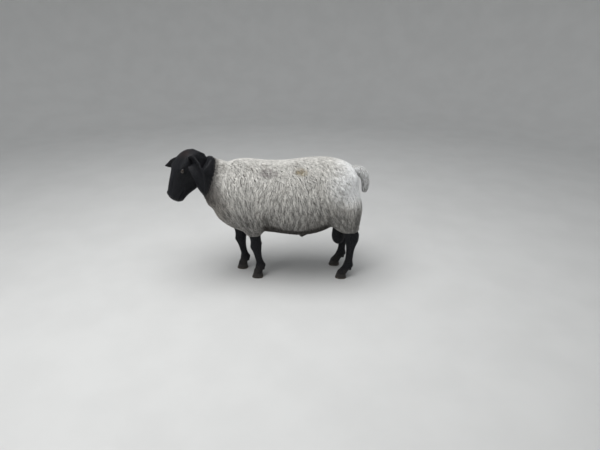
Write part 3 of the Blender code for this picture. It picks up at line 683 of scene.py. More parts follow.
def head_form(rings, sides, dome):
    """The head as sections along its axis, its front closed by a dome at the lips."""
    keys = np.linspace(HEAD[0][0], MUZZLE_DOME, rings)
    table = spline([row[0] for row in HEAD], HEAD, keys)
    made = []
    sections = [(row, 1.0) for row in table]
    last = table[-1]
    for k in range(1, dome):
        angle = math.pi / 2 * k / dome
        row = last.copy()
        row[0] = MUZZLE_DOME + (HEAD_LENGTH - MUZZLE_DOME) * math.sin(angle)
        sections.append((row, math.cos(angle)))
    for (s, top, bottom, wide_at, half, power_top, power_bottom), share in sections:
        base = MOUTH_FRONT + (wide_at - MOUTH_FRONT) * share
        flat = ring(
            Vector((0, 0, 0)),
            Vector((1, 0, 0)),
            Vector((0, 1, 0)),
            half * share,
            (top - wide_at) * share,
            (wide_at - bottom) * share,
            power_top,
            power_bottom,
            sides,
        )
        points = []
        for p in flat:
            outward = Vector((p.x, p.y, 0)).normalized()
            relief = head_relief(s, p.x, base + p.y) * min(1.0, share * 2.5)
            q = p + outward * relief
            points.append(head_place(s, q.x, base + q.y))
        made.append(points)
    return loft("head", made, end=head_place(HEAD_LENGTH, 0, MOUTH_FRONT))


def eye_place(side):
    along, outward, up = EYE
    return head_place(along, outward * side, up)


def gaze_of(side):
    along, left, up = head_axes()
    return (left * side * GAZE[0] + up * GAZE[1] + along * GAZE[2]).normalized()


def ball(name, centre, radius, sides, rings):
    mesh = bpy.data.meshes.new(name)
    work = bmesh.new()
    bmesh.ops.create_uvsphere(work, u_segments=sides, v_segments=rings, radius=radius)
    bmesh.ops.translate(work, vec=centre, verts=work.verts)
    work.to_mesh(mesh)
    work.free()
    return linked(name, mesh)


def ear_curve(side_name, count):
    """Points along the back of an ear from its root to its tip."""
    side = 1 if side_name == "left" else -1
    root = head_place(EAR_ROOT[0], EAR_ROOT[1] * side, EAR_ROOT[2])
    line = [root] + [root + Vector(shift) for shift in EAR_SHIFTS[side_name]]
    return curve_through([tuple(p) for p in line], count)


def ear_form(side_name, rings, across):
    """A cupped leaf of even thickness: rolled at the root, open along its length, pointed at the tip."""
    rows = ear_curve(side_name, rings)
    cup = Vector(EAR_CUP[side_name])
    sections = []
    for i in range(rings):
        t = i / (rings - 1)
        ahead = way_along(rows, i)
        facing = (cup - ahead * cup.dot(ahead)).normalized()
        wide = ahead.cross(facing).normalized()
        half = EAR_HALF_WIDTH * (0.50 + 0.50 * math.sin(min(t / 0.50, 1) * math.pi / 2))
        if t > 0.50:
            half = EAR_HALF_WIDTH * max(math.cos((t - 0.50) / 0.50 * math.pi / 2) ** 0.7, 0.07)
        roll = math.radians(34 + 66 * (1 - t) ** 1.6)
        radius = half / math.sin(min(roll, math.pi / 2))
        thin = min(EAR_THICKNESS * (1.6 - 0.6 * t), half * 0.6)
        sections.append((Vector(rows[i]), facing, wide, radius, roll, thin))
    points, count = [], across + 1
    for centre, facing, wide, radius, roll, thin in sections:
        # The section's middle is its back, so a rolled root stays round the line
        middle = centre + facing * (radius if roll < math.pi / 2 else radius * 0.4)
        for depth in (0.0, thin):
            for k in range(count):
                angle = roll * (2 * k / across - 1)
                spoke = wide * math.sin(angle) - facing * math.cos(angle)
                points.append(middle + spoke * (radius - depth))
    faces = []
    for i in range(rings - 1):
        for k in range(across):
            a = i * 2 * count + k
            b = a + 2 * count
            faces.append((a, a + 1, b + 1, b))
            faces.append((a + count, b + count, b + count + 1, a + count + 1))
        for k in (0, across):
            a = i * 2 * count + k
            b = a + 2 * count
            faces.append((a, b, b + count, a + count))
    for first in (0, (rings - 1) * 2 * count):
        for k in range(across):
            a = first + k
            faces.append((a, a + 1, a + 1 + count, a + count))
    made = mesh_object("ear_" + side_name, points, faces)
    face_outwards(made)
    return made


def lid_form(side, around, fine):
    """A rounded rim round the eye's almond opening, lying on the eyeball."""
    along, _, up = head_axes()
    centre = eye_place(side)
    out = gaze_of(side)
    ahead = (along - out * along.dot(out)).normalized()
    over = out.cross(ahead)
    if over.dot(up) < 0:
        over = -over
    wide, tall = EYE_HALF_OPENING
    sections = []
    for k in range(around):
        angle = 2 * math.pi * k / around
        x = wide * math.cos(angle)
        y = tall * math.sin(angle) * (1 - 0.25 * (x / wide) ** 2)
        flat = ahead * x * LID_STRETCH[0] + over * y * LID_STRETCH[1]
        depth = math.sqrt(max(EYE_RADIUS**2 - flat.length_squared, 0))
        middle = centre + flat + out * (depth + 0.0004)
        spoke = flat.normalized()
        fat = UPPER_LID if y > 0 else LOWER_LID
        sections.append(
            [
                middle + (spoke * math.cos(a) + out * math.sin(a)) * fat
                for a in (2 * math.pi * j / fine for j in range(fine))
            ]
        )
    points = [p for one in sections for p in one]
    faces = []
    for k in range(around):
        for j in range(fine):
            a, b = k * fine + j, k * fine + (j + 1) % fine
            c, d = ((k + 1) % around) * fine + (j + 1) % fine, ((k + 1) % around) * fine + j
            faces.append((a, b, c, d))
    made = mesh_object("lid", points, faces)
    face_outwards(made)
    return made


def nostril_cutter(side):
    """A slanting comma that opens each nostril."""
    along, left, up = head_axes()
    sections = []
    for t in np.linspace(0, 1, 17):
        place = head_place(0.281 + 0.012 * t, side * (0.0300 - 0.0190 * t), 0.017 - 0.018 * t)
        fat = float(np.interp(t, [0, 0.25, 0.5, 0.75, 1], [0.0020, 0.0044, 0.0047, 0.0036, 0.0016]))
        inward = (along * 0.9 + left * side * 0.42).normalized()
        aside = inward.cross((left * side * -0.65 - up * 0.75).normalized()).normalized()
        sections.append(
            [
                place + (inward * math.cos(a) * 3.4 + aside * math.sin(a)) * fat
                for a in (2 * math.pi * j / 20 for j in range(20))
            ]
        )
    return loft("nostril", sections)


# Scattering and strands


def columns(items, name, width):
    """One attribute of a mesh's vertices or triangles as an array."""
    kind = np.int32 if name == "vertices" else np.float32
    values = np.empty(len(items) * width, kind)
    items.foreach_get(name, values)
    return values.reshape(-1, width).astype(int if kind is np.int32 else float)


def unit(vectors):
    return vectors / np.maximum(np.linalg.norm(vectors, axis=-1, keepdims=True), 1e-9)


def dot(a, b):
    return (a * b).sum(-1, keepdims=True)


def smooth_step(values, low, high):
    t = np.clip((values - low) / (high - low), 0, 1)
    return t * t * (3 - 2 * t)


def even_points(form, gap_at, seed, wanted=None, tries=5.0):
    """Places scattered evenly over a mesh, each `gap_at` from the next, and how the surface faces there."""
    rng = np.random.default_rng(seed)
    form.data.calc_loop_triangles()
    corners = places_of(form)
    facings = columns(form.data.vertices, "normal", 3)
    faces = columns(form.data.loop_triangles, "vertices", 3)
    if wanted is not None:
        faces = faces[wanted(corners[faces].mean(1))]
    a, b, c = (corners[faces[:, i]] for i in range(3))
    areas = np.linalg.norm(np.cross(b - a, c - a), axis=1) / 2
    least = float(gap_at((a + b + c) / 3).min())
    count = int(tries * areas.sum() / least**2)
    picks = rng.choice(len(faces), count, p=areas / areas.sum())
    shares = np.sort(rng.random((count, 2)), axis=1)
    weights = np.stack([shares[:, 0], shares[:, 1] - shares[:, 0], 1 - shares[:, 1]], axis=1)
    points = np.einsum("ij,ijk->ik", weights, corners[faces[picks]])
    normals = unit(np.einsum("ij,ijk->ik", weights, facings[faces[picks]]))
    gaps = gap_at(points)
    cell = float(gaps.max())
    keys = np.floor(points / cell).astype(int).tolist()
    places, squares = points.tolist(), (gaps**2).tolist()
    beside = [(i, j, k) for i in (-1, 0, 1) for j in (-1, 0, 1) for k in (-1, 0, 1)]
    grid, kept = {}, []
    for index, ((i, j, k), (x, y, z), square) in enumerate(zip(keys, places, squares)):
        free = True
        for di, dj, dk in beside:
            for px, py, pz in grid.get((i + di, j + dj, k + dk), ()):
                if (x - px) ** 2 + (y - py) ** 2 + (z - pz) ** 2 < square:
                    free = False
                    break
            if not free:
                break
        if free:
            grid.setdefault((i, j, k), []).append((x, y, z))
            kept.append(index)
    return points[kept], normals[kept]


def strands(name, lines, outward, wide, deep, places, tints):
    """Many tapering tubes as one mesh, from their middle lines, half widths and half depths."""
    sides = STRAND_SIDES
    count, rings, _ = lines.shape
    ahead = unit(np.gradient(lines, axis=1))
    out = unit(outward[:, None, :] - ahead * dot(outward[:, None, :], ahead))
    across = np.cross(ahead, out)
    angles = 2 * math.pi * (np.arange(sides) / sides + 0.25)
    round_it = across[:, :, None, :] * (wide[:, :, None] * np.cos(angles))[..., None]
    round_it = round_it + out[:, :, None, :] * (deep[:, :, None] * np.sin(angles))[..., None]
    walls = (lines[:, :, None, :] + round_it).reshape(count, rings * sides, 3)
    tips = lines[:, -1] + ahead[:, -1] * wide[:, -1:] * 1.5
    points = np.concatenate([walls, tips[:, None, :]], axis=1)
    each = rings * sides + 1
    corners, starts, spots = [], [], []
    for r in range(rings - 1):
        for k in range(sides):
            a, b = r * sides + k, r * sides + (k + 1) % sides
            starts.append(len(corners))
            corners += [a, a + sides, b + sides, b]
            left, right = k / sides, (k + 1) / sides
            low, high = r / rings, (r + 1) / rings
            spots += [(left, low), (left, high), (right, high), (right, low)]
    for k in range(sides):
        a, b = (rings - 1) * sides + k, (rings - 1) * sides + (k + 1) % sides
        starts.append(len(corners))
        corners += [a, each - 1, b]
        left, right = k / sides, (k + 1) / sides
        spots += [(left, 1 - 1 / rings), ((left + right) / 2, 1), (right, 1 - 1 / rings)]
    order = np.arange(count)[:, None]
    loops = (np.array(corners)[None, :] + order * each).ravel()
    firsts = (np.array(starts)[None, :] + order * len(corners)).ravel()
    spots = np.array(spots)[None, :, :] * PATCH + places[:, None, :]
    mesh = bpy.data.meshes.new(name)
    mesh.vertices.add(count * each)
    mesh.vertices.foreach_set("co", points.astype(np.float32).ravel())
    mesh.loops.add(len(loops))
    mesh.loops.foreach_set("vertex_index", loops.astype(np.int32))
    mesh.polygons.add(len(firsts))
    mesh.polygons.foreach_set("loop_start", firsts.astype(np.int32))
    mesh.polygons.foreach_set("use_smooth", np.ones(len(firsts), bool))
    mesh.uv_layers.new(name="OFBake").uv.foreach_set("vector", spots.astype(np.float32).ravel())
    mesh.update(calc_edges=True)
    along = np.append(np.repeat(np.arange(rings) / rings, sides), 1.0)
    point_values(mesh, "along", np.tile(along, count))
    point_values(mesh, "tint", np.repeat(tints, each))
    return linked(name, mesh)


def point_values(mesh, name, values):
    layer = mesh.attributes.new(name, "FLOAT", "POINT")
    layer.data.foreach_set("value", np.asarray(values, np.float32))


def point_vectors(mesh, name, values):
    layer = mesh.attributes.new(name, "FLOAT_VECTOR", "POINT")
    layer.data.foreach_set("vector", np.asarray(values, np.float32).ravel())


def places_of(made):
    return columns(made.data.vertices, "co", 3)


def finished(piece, material, slot, *nodes):
    """Moves a piece into the frame, gives it its finish and hides the solids that it stands for."""
    piece.data.transform(Matrix.Translation(to_frame()))
    piece.data.materials.clear()
    piece.data.materials.append(material)
    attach(piece, "root")
    if nodes:
        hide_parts(*nodes)
    return piece


def to_frame():
    """The shift from the tables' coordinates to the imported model's, whose underside is centred."""
    low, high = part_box("eye_left")
    return (low + high) / 2 - eye_place(1)


def in_frame(place):
    """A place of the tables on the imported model. Both stand on the ground, so its height stays."""
    shift = to_frame()
    return place[0] + shift.x, place[1] + shift.y, place[2]


# What the coat is like from place to place


def side_of_head(points):
    """How far points are ahead of the line where the black head meets the fleece."""
    return (points - np.array(HEAD_CUT[0])) @ np.array(HEAD_CUT[1])


def from_leg(points, foot):
    """How far points are from the middle line of a leg where its wool ends."""
    x, y = FEET[foot]
    shift = FORE_HEM_SHIFT if foot.startswith("front") else HIND_HEM_SHIFT
    return np.hypot(points[:, 0] - x - shift, points[:, 1] - y)


def nearest_foot(points):
    away = np.stack([from_leg(points, foot) for foot in FEET], axis=1)
    return away.argmin(1), away.min(1)


def blackness(points):
    """1 where the hair is short and black, 0 where the skin carries fleece."""
    x, y, z = points.T
    head = smooth_step(side_of_head(points), -0.075, -0.030) * (x < -0.22)
    foot, away = nearest_foot(points)
    hem = np.where(foot < 2, *HEMS)
    legs = smooth_step(hem - z, 0.0, 0.022) * (away < 0.085)
    pouch = smooth_step(0.440 - z, 0.0, 0.03) * (np.abs(y) < 0.060) * (np.abs(x - 0.48) < 0.09)
    return np.maximum.reduce([head, legs, pouch])


def hair_flow(points):
    """Which way the short hair runs: to the muzzle, out along the ears, back on the neck, down the legs."""
    along, left, up = (np.array(v) for v in head_axes())
    s, across, high = head_frame(points)
    face = along[None, :] + left[None, :] * (np.sign(across) * 0.10)[:, None]
    face = face - up[None, :] * (0.35 * smooth_step(-high, 0.02, 0.10))[:, None]
    nape = np.broadcast_to(np.array([0.55, 0.12, -0.80]), points.shape)
    share = smooth_step(s, -0.045, 0.030)[:, None]
    flow = unit(face) * share + nape * (1 - share)
    for name in EAR_SHIFTS:
        rows = ear_curve(name, 24)
        runs = unit(np.gradient(rows, axis=0))
        away = np.linalg.norm(points[:, None, :] - rows[None, 4:, :], axis=2)
        close = away.min(1) < 0.046
        outside = np.abs(across) > 0.062
        shares = np.exp(-((away / EAR_BLEND) ** 2)) + 1e-12
        ear = unit(shares @ runs[4:])
        flow = np.where((close & outside)[:, None], ear, flow)
    return unit(np.where(points[:, 2:] < HAIR_SPLIT, np.array([0.05, 0.0, -1.0]), flow))


def coat_place(points):
    """Places squeezed along the hair, so that a noise read there makes streaks that follow it."""
    flow = hair_flow(points)
    from_head = points - np.array(HEAD_START)
    return points - flow * dot(np.where(points[:, 2:] < HAIR_SPLIT, points, from_head), flow) * 0.88


def shagginess(points):
    """0 on the smooth back, 1 on the lower sides with their long wavy locks."""
    low = 0.690 - 0.05 * smooth_step(points[:, 0], 0.30, 0.56)
    return smooth_step(low - points[:, 2], 0.0, 0.15)


def wool_lie(points, normals):
    """Which way the wool lies: down and fanning on the sides, outwards from the ridge, back from the head."""
    x, y, z = points.T
    top = smooth_step(normals[:, 2], 0.45, 0.95)
    fan = 0.30 * np.sin(9.5 * x + 6 * z + 0.6) + 0.16 * np.sin(21 * x - 13 * z)
    wish = np.stack(
        [0.16 + fan * (1 - top) + 0.55 * top, np.clip(y / 0.07, -1, 1) * 0.8 * top, np.full(len(x), -1.0)],
        axis=1,
    )
    below = smooth_step(-normals[:, 2], 0.5, 1.0)
    wish[:, 2] *= 1 - 0.7 * below
    wish[:, 0] += 0.8 * below
    collar = smooth_step(0.13 + side_of_head(points), 0.0, 0.10)[:, None]
    wish = unit(wish) * (1 - collar) + (np.array([0.62, 0.10, -0.62]))[None, :] * collar
    return unit(wish - normals * dot(wish, normals))


def near_place(points, middle, reach):
    """1 round a place, 0 further off than its reach."""
    return 1 - smooth_step(np.linalg.norm((points - np.array(middle)) / np.array(reach), axis=1), 0.4, 1.0)


def throat_grey_and_shade_of(points):
    """How grey the wool is next to the black head: a soft edge above, and more of it down at the throat,
    where the extra darkness is painted shade.
    """
    reach = 0.060 + 0.070 * smooth_step(0.77 - points[:, 2], 0.0, 0.20)
    strength = 0.80 + 0.10 * smooth_step(0.74 - points[:, 2], 0.0, 0.15)
    return strength * (1 - smooth_step(-side_of_head(points), 0.0, reach))


def dirt_and_shade_of(points):
    """How dark the wool is painted: dirt with painted shade under the belly and by the tail, and painted
    shade in the folds.
    """
    x, y, z = points.T
    hang = np.interp(x, [row[0] for row in TRUNK], [row[2] for row in TRUNK])
    edge = np.interp(x, *zip(*BELLY_DIRT_AND_SHADE_EDGE)) + 0.006 * np.sin(70 * x + 2) + 0.004 * np.sin(151 * x)
    # The dark strip along the underside: dirt with painted shade
    under = smooth_step(edge - (z - hang), 0.0, 0.016) * smooth_step(x, -0.035, 0.005)
    under = under * smooth_step(0.44 - x, 0.0, 0.06) * smooth_step(0.205 - np.abs(y), 0.0, 0.03)
    # Painted shade in the folds behind the elbows and before the thighs, and dirt with painted shade by the
    # tail
    shades = [strength * near_place(points, middle, reach) for middle, reach, strength in SHADES]
    return np.maximum.reduce([under, *shades])


# The skin


def dewclaws(foot):
    """The two small claws behind a fetlock."""
    x, y = FEET[foot]
    shift = FORE_DEWCLAW if foot.startswith("front") else HIND_DEWCLAW
    made = []
    for side in (-1, 1):
        one = ball("dewclaw", Vector((0, 0, 0)), 1.0, 20, 12)
        one.data.transform(Matrix.Diagonal((*DEWCLAW_SIZE, 1)))
        one.data.transform(Matrix.Translation((x + shift, y + DEWCLAW_ASIDE * side, DEWCLAW_HEIGHT)))
        made.append(one)
    return made


def leg_relief(front, height, behind, aside):
    """Knee or hock, tendons, fetlock and toes, as shifts out from the plain section."""
    fore = max(-behind, 0.0)
    back = max(behind, 0.0)
    if front:
        out = 0.0030 * bump(height, 0.234, 0.018) * fore**2
        out += 0.0045 * bump(height, 0.248, 0.014) * back**3
        out -= 0.0032 * bump(height, 0.150, 0.045) * bump(behind, 0.12, 0.26) * aside
        out -= 0.0022 * bump(height, 0.300, 0.030) * bump(behind, 0.20, 0.30) * aside
    else:
        out = 0.0065 * bump(height, 0.322, 0.018) * back**4
        out -= 0.0055 * bump(height, 0.352, 0.030) * bump(behind, 0.42, 0.24) * aside
        out += 0.0022 * bump(height, 0.290, 0.016) * bump(behind, -0.2, 0.5) * aside
        out -= 0.0034 * bump(height, 0.175, 0.055) * bump(behind, 0.16, 0.26) * aside
    out += 0.0026 * bump(height, 0.090, 0.012) * back**2
    out -= 0.0060 * bump(height, 0.044, 0.018) * (fore**14 + 0.7 * back**14)
    out += 0.0014 * bump(height, 0.044, 0.005)
    return out


def fine_leg(foot):
    """A leg's bare part with its joints and tendons, down over the top of the hooves, and its dewclaws."""
    x, y = FEET[foot]
    front = foot.startswith("front")
    outward = -1 if foot.endswith("left") else 1
    table = FORE_LEG if front else HIND_LEG
    table = table + ((0.034, *table[-1][1:3], table[-1][3] - 0.0005, table[-1][4] - 0.0005),)
    made = []
    for height, shift, out, depth, width in curve_through(table, LEG_RINGS):
        centre = Vector((x + shift, y + outward * out, height))
        points = []
        for k in range(LEG_SIDES):
            angle = 2 * math.pi * k / LEG_SIDES
            behind, aside = math.cos(angle), math.sin(angle)
            relief = leg_relief(front, height, behind, abs(aside))
            flat = Vector((
                (depth + relief) * math.copysign(abs(behind) ** 0.91, behind),
                (width + relief) * math.copysign(abs(aside) ** 0.91, aside),
                0,
            ))
            points.append(centre + flat)
        made.append(points)
    leg = loft("leg", made)
    combine(leg, dewclaws(foot), "UNION")
    return remeshed(leg, LEG_VOXEL, 4)


def face_folds(points, normals):
    """Small folds of the skin: round each eye, at the corners of the mouth, and across the nose."""
    s, across, high = head_frame(points)
    aside = np.abs(across)
    ahead, over = s - EYE[0], high - EYE[2]
    around = np.hypot(ahead / 1.35, over)
    near_eye = (aside > 0.035) * np.exp(-(((around - 0.0215) / 0.009) ** 2))
    out = -0.0007 * near_eye * np.cos(2 * math.pi * (around - 0.0185) / 0.0058)
    corner = np.hypot(s - MOUTH_CORNER + 0.006, high - MOUTH_FRONT + 0.010)
    out += 0.0005 * np.exp(-((corner / 0.016) ** 2)) * np.sin(2 * math.pi * corner / 0.0075)
    bridge = np.exp(-(((s - 0.235) / 0.030) ** 2)) * np.exp(-((aside / 0.030) ** 2)) * (high > 0.02)
    out += 0.0002 * bridge * np.sin(2 * math.pi * s / 0.0090)
    out *= (s > 0.0) * (s < 0.30)
    return points + normals * out[:, None]


def head_skin():
    """Head, lids and ears as one smooth closed form, with nostrils and eye sockets cut in."""
    head = head_form(*HEAD_COUNTS)
    grown = [lid_form(side, *LID_COUNTS) for side in (1, -1)]
    grown += [ear_form(name, *EAR_COUNTS) for name in ("left", "right")]
    combine(head, grown, "UNION")
    remeshed(head, HEAD_VOXEL, 3)
    folded = face_folds(places_of(head), columns(head.data.vertices, "normal", 3))
    head.data.vertices.foreach_set("co", folded.astype(np.float32).ravel())
    cutters = [nostril_cutter(side) for side in (1, -1)]
    cutters += [ball("socket", eye_place(side), EYE_RADIUS + SOCKET_ROOM, 64, 40) for side in (1, -1)]
    return combine(head, cutters, "DIFFERENCE")


def make_skin():
    """All the flesh as one closed mesh, with the values that its finish reads."""
    body = woolled_form(FLEECE)
    flesh = [head_skin(), sheath_form(SHEATH_WOOL), hanging_form("scrotum", SCROTUM, 26, 36)]
    flesh += [fine_leg(foot) for foot in FEET]
    flesh.append(tail_form(TAIL_FLEECE))
    skin = combine(body, flesh, "UNION")
    skin.name = skin.data.name = "skin"
    points = places_of(skin)
    point_values(skin.data, "black", blackness(points))
    point_vectors(skin.data, "coat_place", coat_place(points))
    point_values(skin.data, "tint", np.full(len(points), 0.4))
    point_values(skin.data, "along", np.full(len(points), 0.0))
    return smoothed(skin)


# The fleece


def depth_of_wool(points, normals, tree):
    """How far the tips of the wool are from each root, straight out."""
    least, most = WOOL_DEPTHS
    depths = []
    for place, facing in zip(points.tolist(), normals.tolist()):
        _, _, _, far = tree.ray_cast(Vector(place), Vector(facing))
        depths.append(FLEECE if far is None else min(max(far, least), most))
    return np.array(depths)


def lock_lines(points, normals, lies, depths, lengths, tree, shape, hug, slant, sink):
    """The middle line of each lock: out of the skin, steeply or aslant, then along below the outside."""
    tops = points + normals * depths[:, None]
    lines = []
    for reach, steep, _ in shape:
        rise = steep + (0.10 + 0.90 * reach - steep) * slant
        here = tops + lies * (lengths * reach)[:, None]
        if reach > 0.05:
            on = np.array([tree.find_nearest(Vector(p))[0][:] for p in here.tolist()])
            here = here + (on - here) * hug[:, None]
        lines.append(here + normals * (depths * (rise - 1) - sink * min(reach / 0.05, 1.0))[:, None])
    return np.stack(lines, axis=1)


def column_of(shape, index):
    return np.array([row[index] for row in shape])


def gathered(lines, points, normals, shape, form, gap, pull):
    """Draws the tips of neighbouring locks together into staples, and says how near its rim each lock is, for
    the painted shade in the clefts between staples.
    """
    middles, _ = even_points(form, lambda p: np.full(len(p), gap), SEED + 3)
    steps = column_of(shape, 0)
    staples = np.zeros(len(points), int)
    cleft_shades = np.zeros(len(points))
    for first in range(0, len(points), 2000):
        part = slice(first, first + 2000)
        stretched = (points[part, None, :] - middles[None]) * STAPLE_STRETCH
        away = np.linalg.norm(stretched, axis=2)
        staples[part] = away.argmin(1)
        cleft_shades[part] = smooth_step(away.min(1) / gap, 0.18, 0.48)
        towards = middles[staples[part]] - points[part]
        towards -= normals[part] * dot(towards, normals[part])
        lines[part] += towards[:, None, :] * (pull[part, None] * steps**1.5)[..., None]
    return lines, staples, cleft_shades


def body_places(points):
    """Where roots lie on an unwrap of the body: round it and along it."""
    x, y, z = points.T
    middle = np.interp(x, [-0.45, -0.33, -0.20, 0.0, 0.60], [0.80, 0.70, 0.60, 0.55, 0.58])
    around = np.arctan2(y, z - middle) / (2 * math.pi) + 0.5
    return spread_places(around, x)


def leg_places(points, foot):
    """Where roots lie on an unwrap of a leg: round it and up it."""
    x, y = FEET[foot]
    around = np.arctan2(points[:, 1] - y, points[:, 0] - x) / (2 * math.pi) + 0.5
    return spread_places(around, points[:, 2])


def spread_places(around, along):
    share = (along - along.min()) / max(along.max() - along.min(), 1e-6)
    return np.stack([around, share], axis=1) * (1 - 2 * PATCH)


def turned(lies, normals, angles):
    """Directions on the surface, each turned by its own angle."""
    swing = angles[:, None]
    return unit(lies * np.cos(swing) + np.cross(normals, lies) * np.sin(swing))


def lock_tints(points, shag, staples, cleft_shades, rng):
    """How light each lock is: each staple has its own tone and painted shade at its rim, in the clefts
    between staples, and the rump is cleaner.
    """
    shades = np.random.default_rng(SEED).uniform(0, 1, staples.max() + 1)[staples]
    # The darker rims are painted shade in the clefts between the staples
    tone = rng.uniform(0, 1, len(points)) * 0.36 + shades * 0.26 + (1 - cleft_shades) * 0.38
    clean = near_place(points, CLEAN_RUMP, CLEAN_REACH)
    return 0.5 + (tone - 0.5) * (0.40 + 0.75 * shag) * (1 - 0.6 * clean) + 0.13 * clean


def waved(lines, points, normals, lies, lengths, shag, steps, wool, rng):
    """Lets each lock swing to its sides and rise and fall, nearly in step with its neighbours."""
    x, y, z = points.T
    phase = 5.0 * np.sin(9 * x + 5 * z) + 4.0 * np.sin(8 * z - 6 * x + 9 * y)
    phase = phase + rng.uniform(-0.8, 0.8, len(points))
    turns = lengths / wool.wave_length
    swing = np.sin(phase[:, None] + 2 * math.pi * turns[:, None] * steps)
    lift = np.cos(phase[:, None] + 2 * math.pi * turns[:, None] * steps)
    height = (wool.wave_height * (0.45 + 0.55 * shag))[:, None] * np.minimum(steps * 3, 1)
    lines += np.cross(normals, lies)[:, None, :] * (swing * height)[..., None]
    lines += normals[:, None, :] * (lift * height * 0.35)[..., None]
    return lines


def grow_locks(name, shape, points, normals, outside, form, wool, rng, places):
    """One piece of fleece from its roots: short even locks on the back, long wavy ones low on the sides."""
    count = len(points)
    shag = shagginess(points)
    lies = turned(wool_lie(points, normals), normals, rng.normal(0, 0.18, count))
    near_head = smooth_step(-side_of_head(points), 0.0, 0.065)
    whole = depth_of_wool(points, normals, outside)
    depths = whole * (1 - rng.uniform(-0.3, 1.0, count) * (0.035 + 0.05 * shag))
    lengths = wool.short + (wool.long - wool.short) * shag
    lengths *= (0.50 + 0.50 * near_head) * rng.uniform(0.75, 1.25, count)
    hug = 1 - 0.15 * smooth_step(0.42 - points[:, 2], 0.0, 0.06)
    sink = whole * COLLAR_SINK * (1 - near_head)
    lines = lock_lines(points, normals, lies, depths, lengths, outside, shape, hug, 1 - near_head, sink)
    pull = (0.05 + 0.45 * shag) * rng.uniform(0.6, 1.2, count)
    lines, staples, cleft_shades = gathered(lines, points, normals, shape, form, wool.staple, pull)
    tints = lock_tints(points, shag, staples, cleft_shades, rng)
    lines = waved(lines, points, normals, lies, lengths, shag, column_of(shape, 0), wool, rng)
    size = (1.30 - 0.30 * shag) * (0.75 + 0.25 * near_head) * rng.uniform(0.75, 1.25, count)
    wide = wool.width / 2 * size[:, None] * column_of(shape, 2)
    return strands(name, lines, normals, wide, wide * 0.55, places, tints)


def under_wool(core, outside, wool, rng):
    """Broad flat locks below the tips of the fleece, which close the gaps between them."""
    points, normals = even_points(core, lambda p: np.full(len(p), wool.under_spacing), SEED + 5)
    kept = side_of_head(points) < UNDER_WOOL_EDGE
    points, normals = points[kept], normals[kept]
    lies = wool_lie(points, normals)
    near_head = smooth_step(-side_of_head(points), 0.0, 0.09)
    depths = depth_of_wool(points, normals, outside)
    lengths = np.full(len(points), wool.under_spacing * 3)
    hug = np.ones(len(points))
    sink = depths * (0.16 + COLLAR_SINK * (1 - near_head))
    lines = lock_lines(points, normals, lies, depths, lengths, outside, BACK_LOCK, hug, 1 - near_head, sink)
    wide = wool.under_spacing * 0.95 * rng.uniform(0.9, 1.1, len(points))[:, None] * column_of(BACK_LOCK, 2)
    tints = rng.uniform(0.25, 0.60, len(points))
    return strands("fleece_under", lines, normals, wide, wide * 0.3, body_places(points), tints)


def make_fleece(wool):
    """The fleece in pieces: back, sides, each leg's wool, the under-wool, tail and sheath."""
    rng = np.random.default_rng(SEED)
    core, whole = woolled_form(FLEECE), woolled_form(0.0)
    outside = tree_of(whole)

    def gap_at(places):
        close = smooth_step(0.08 + side_of_head(places), 0.0, 0.06)
        return wool.spacing * (0.96 + 0.08 * shagginess(places)) * (1 - 0.18 * close)

    points, normals = even_points(core, gap_at, SEED)
    kept = side_of_head(points) < WOOL_EDGE
    points, normals = points[kept], normals[kept]
    foot, away = nearest_foot(points)
    on_leg = (away < LEG_WOOL_REACH) & (points[:, 2] < LEG_WOOL_TOP)
    pieces = []
    for index, name in enumerate(FEET):
        chosen = on_leg & (foot == index)
        p, n = points[chosen], normals[chosen]
        spots = leg_places(p, name)
        pieces.append(grow_locks("fleece_leg_" + name, SIDE_LOCK, p, n, outside, core, wool, rng, spots))
    side = shagginess(points) + rng.normal(0, 0.14, len(points)) > SIDE_FROM
    for name, shape, here, count in (
        ("fleece_back", BACK_LOCK, ~on_leg & ~side, BACK_PIECES),
        ("fleece_side", SIDE_LOCK, ~on_leg & side, SIDE_PIECES),
    ):
        order = np.flatnonzero(here)
        order = order[np.argsort(points[order, 0])]
        for index, chosen in enumerate(np.array_split(order, count)):
            p, n = points[chosen], normals[chosen]
            made = grow_locks(f"{name}_{index + 1}", shape, p, n, outside, core, wool, rng, body_places(p))
            pieces.append(made)
    pieces.append(under_wool(core, outside, wool, rng))
    remove(core, whole)
    pieces.append(small_fleece("fleece_tail", tail_form(TAIL_FLEECE), tail_form(0.0), wool, rng))
    pieces.append(small_fleece("fleece_sheath", sheath_form(SHEATH_WOOL), sheath_form(0.0), wool, rng))
    return pieces


def small_fleece(name, core, outside, wool, rng):
    """Short locks that hang down over a small form, from its core to its outside."""
    tree = tree_of(outside)
    points, normals = even_points(core, lambda p: np.full(len(p), wool.spacing * 0.85), SEED)
    down = np.broadcast_to(np.array([0.08, 0.0, -1.0]), points.shape)
    lies = unit(down - normals * dot(down, normals))
    depths = np.minimum(depth_of_wool(points, normals, tree), TAIL_FLEECE * 1.2)
    lengths = wool.short * rng.uniform(0.8, 1.2, len(points))
    hug = np.full(len(points), 0.8)
    none = np.zeros(len(points))
    lines = lock_lines(points, normals, lies, depths, lengths, tree, BACK_LOCK, hug, none, none)
    wide = wool.width * 0.52 * rng.uniform(0.85, 1.15, len(points))[:, None] * column_of(BACK_LOCK, 2)
    middle = points.mean(0)
    around = np.arctan2(points[:, 1] - middle[1], points[:, 0] - middle[0]) / (2 * math.pi) + 0.5
    places = spread_places(around, points[:, 2])
    remove(core, outside)
    tints = rng.uniform(0.45, 0.75, len(points))
    return strands(name, lines, normals, wide, wide * 0.4, places, tints)


# The short black hair


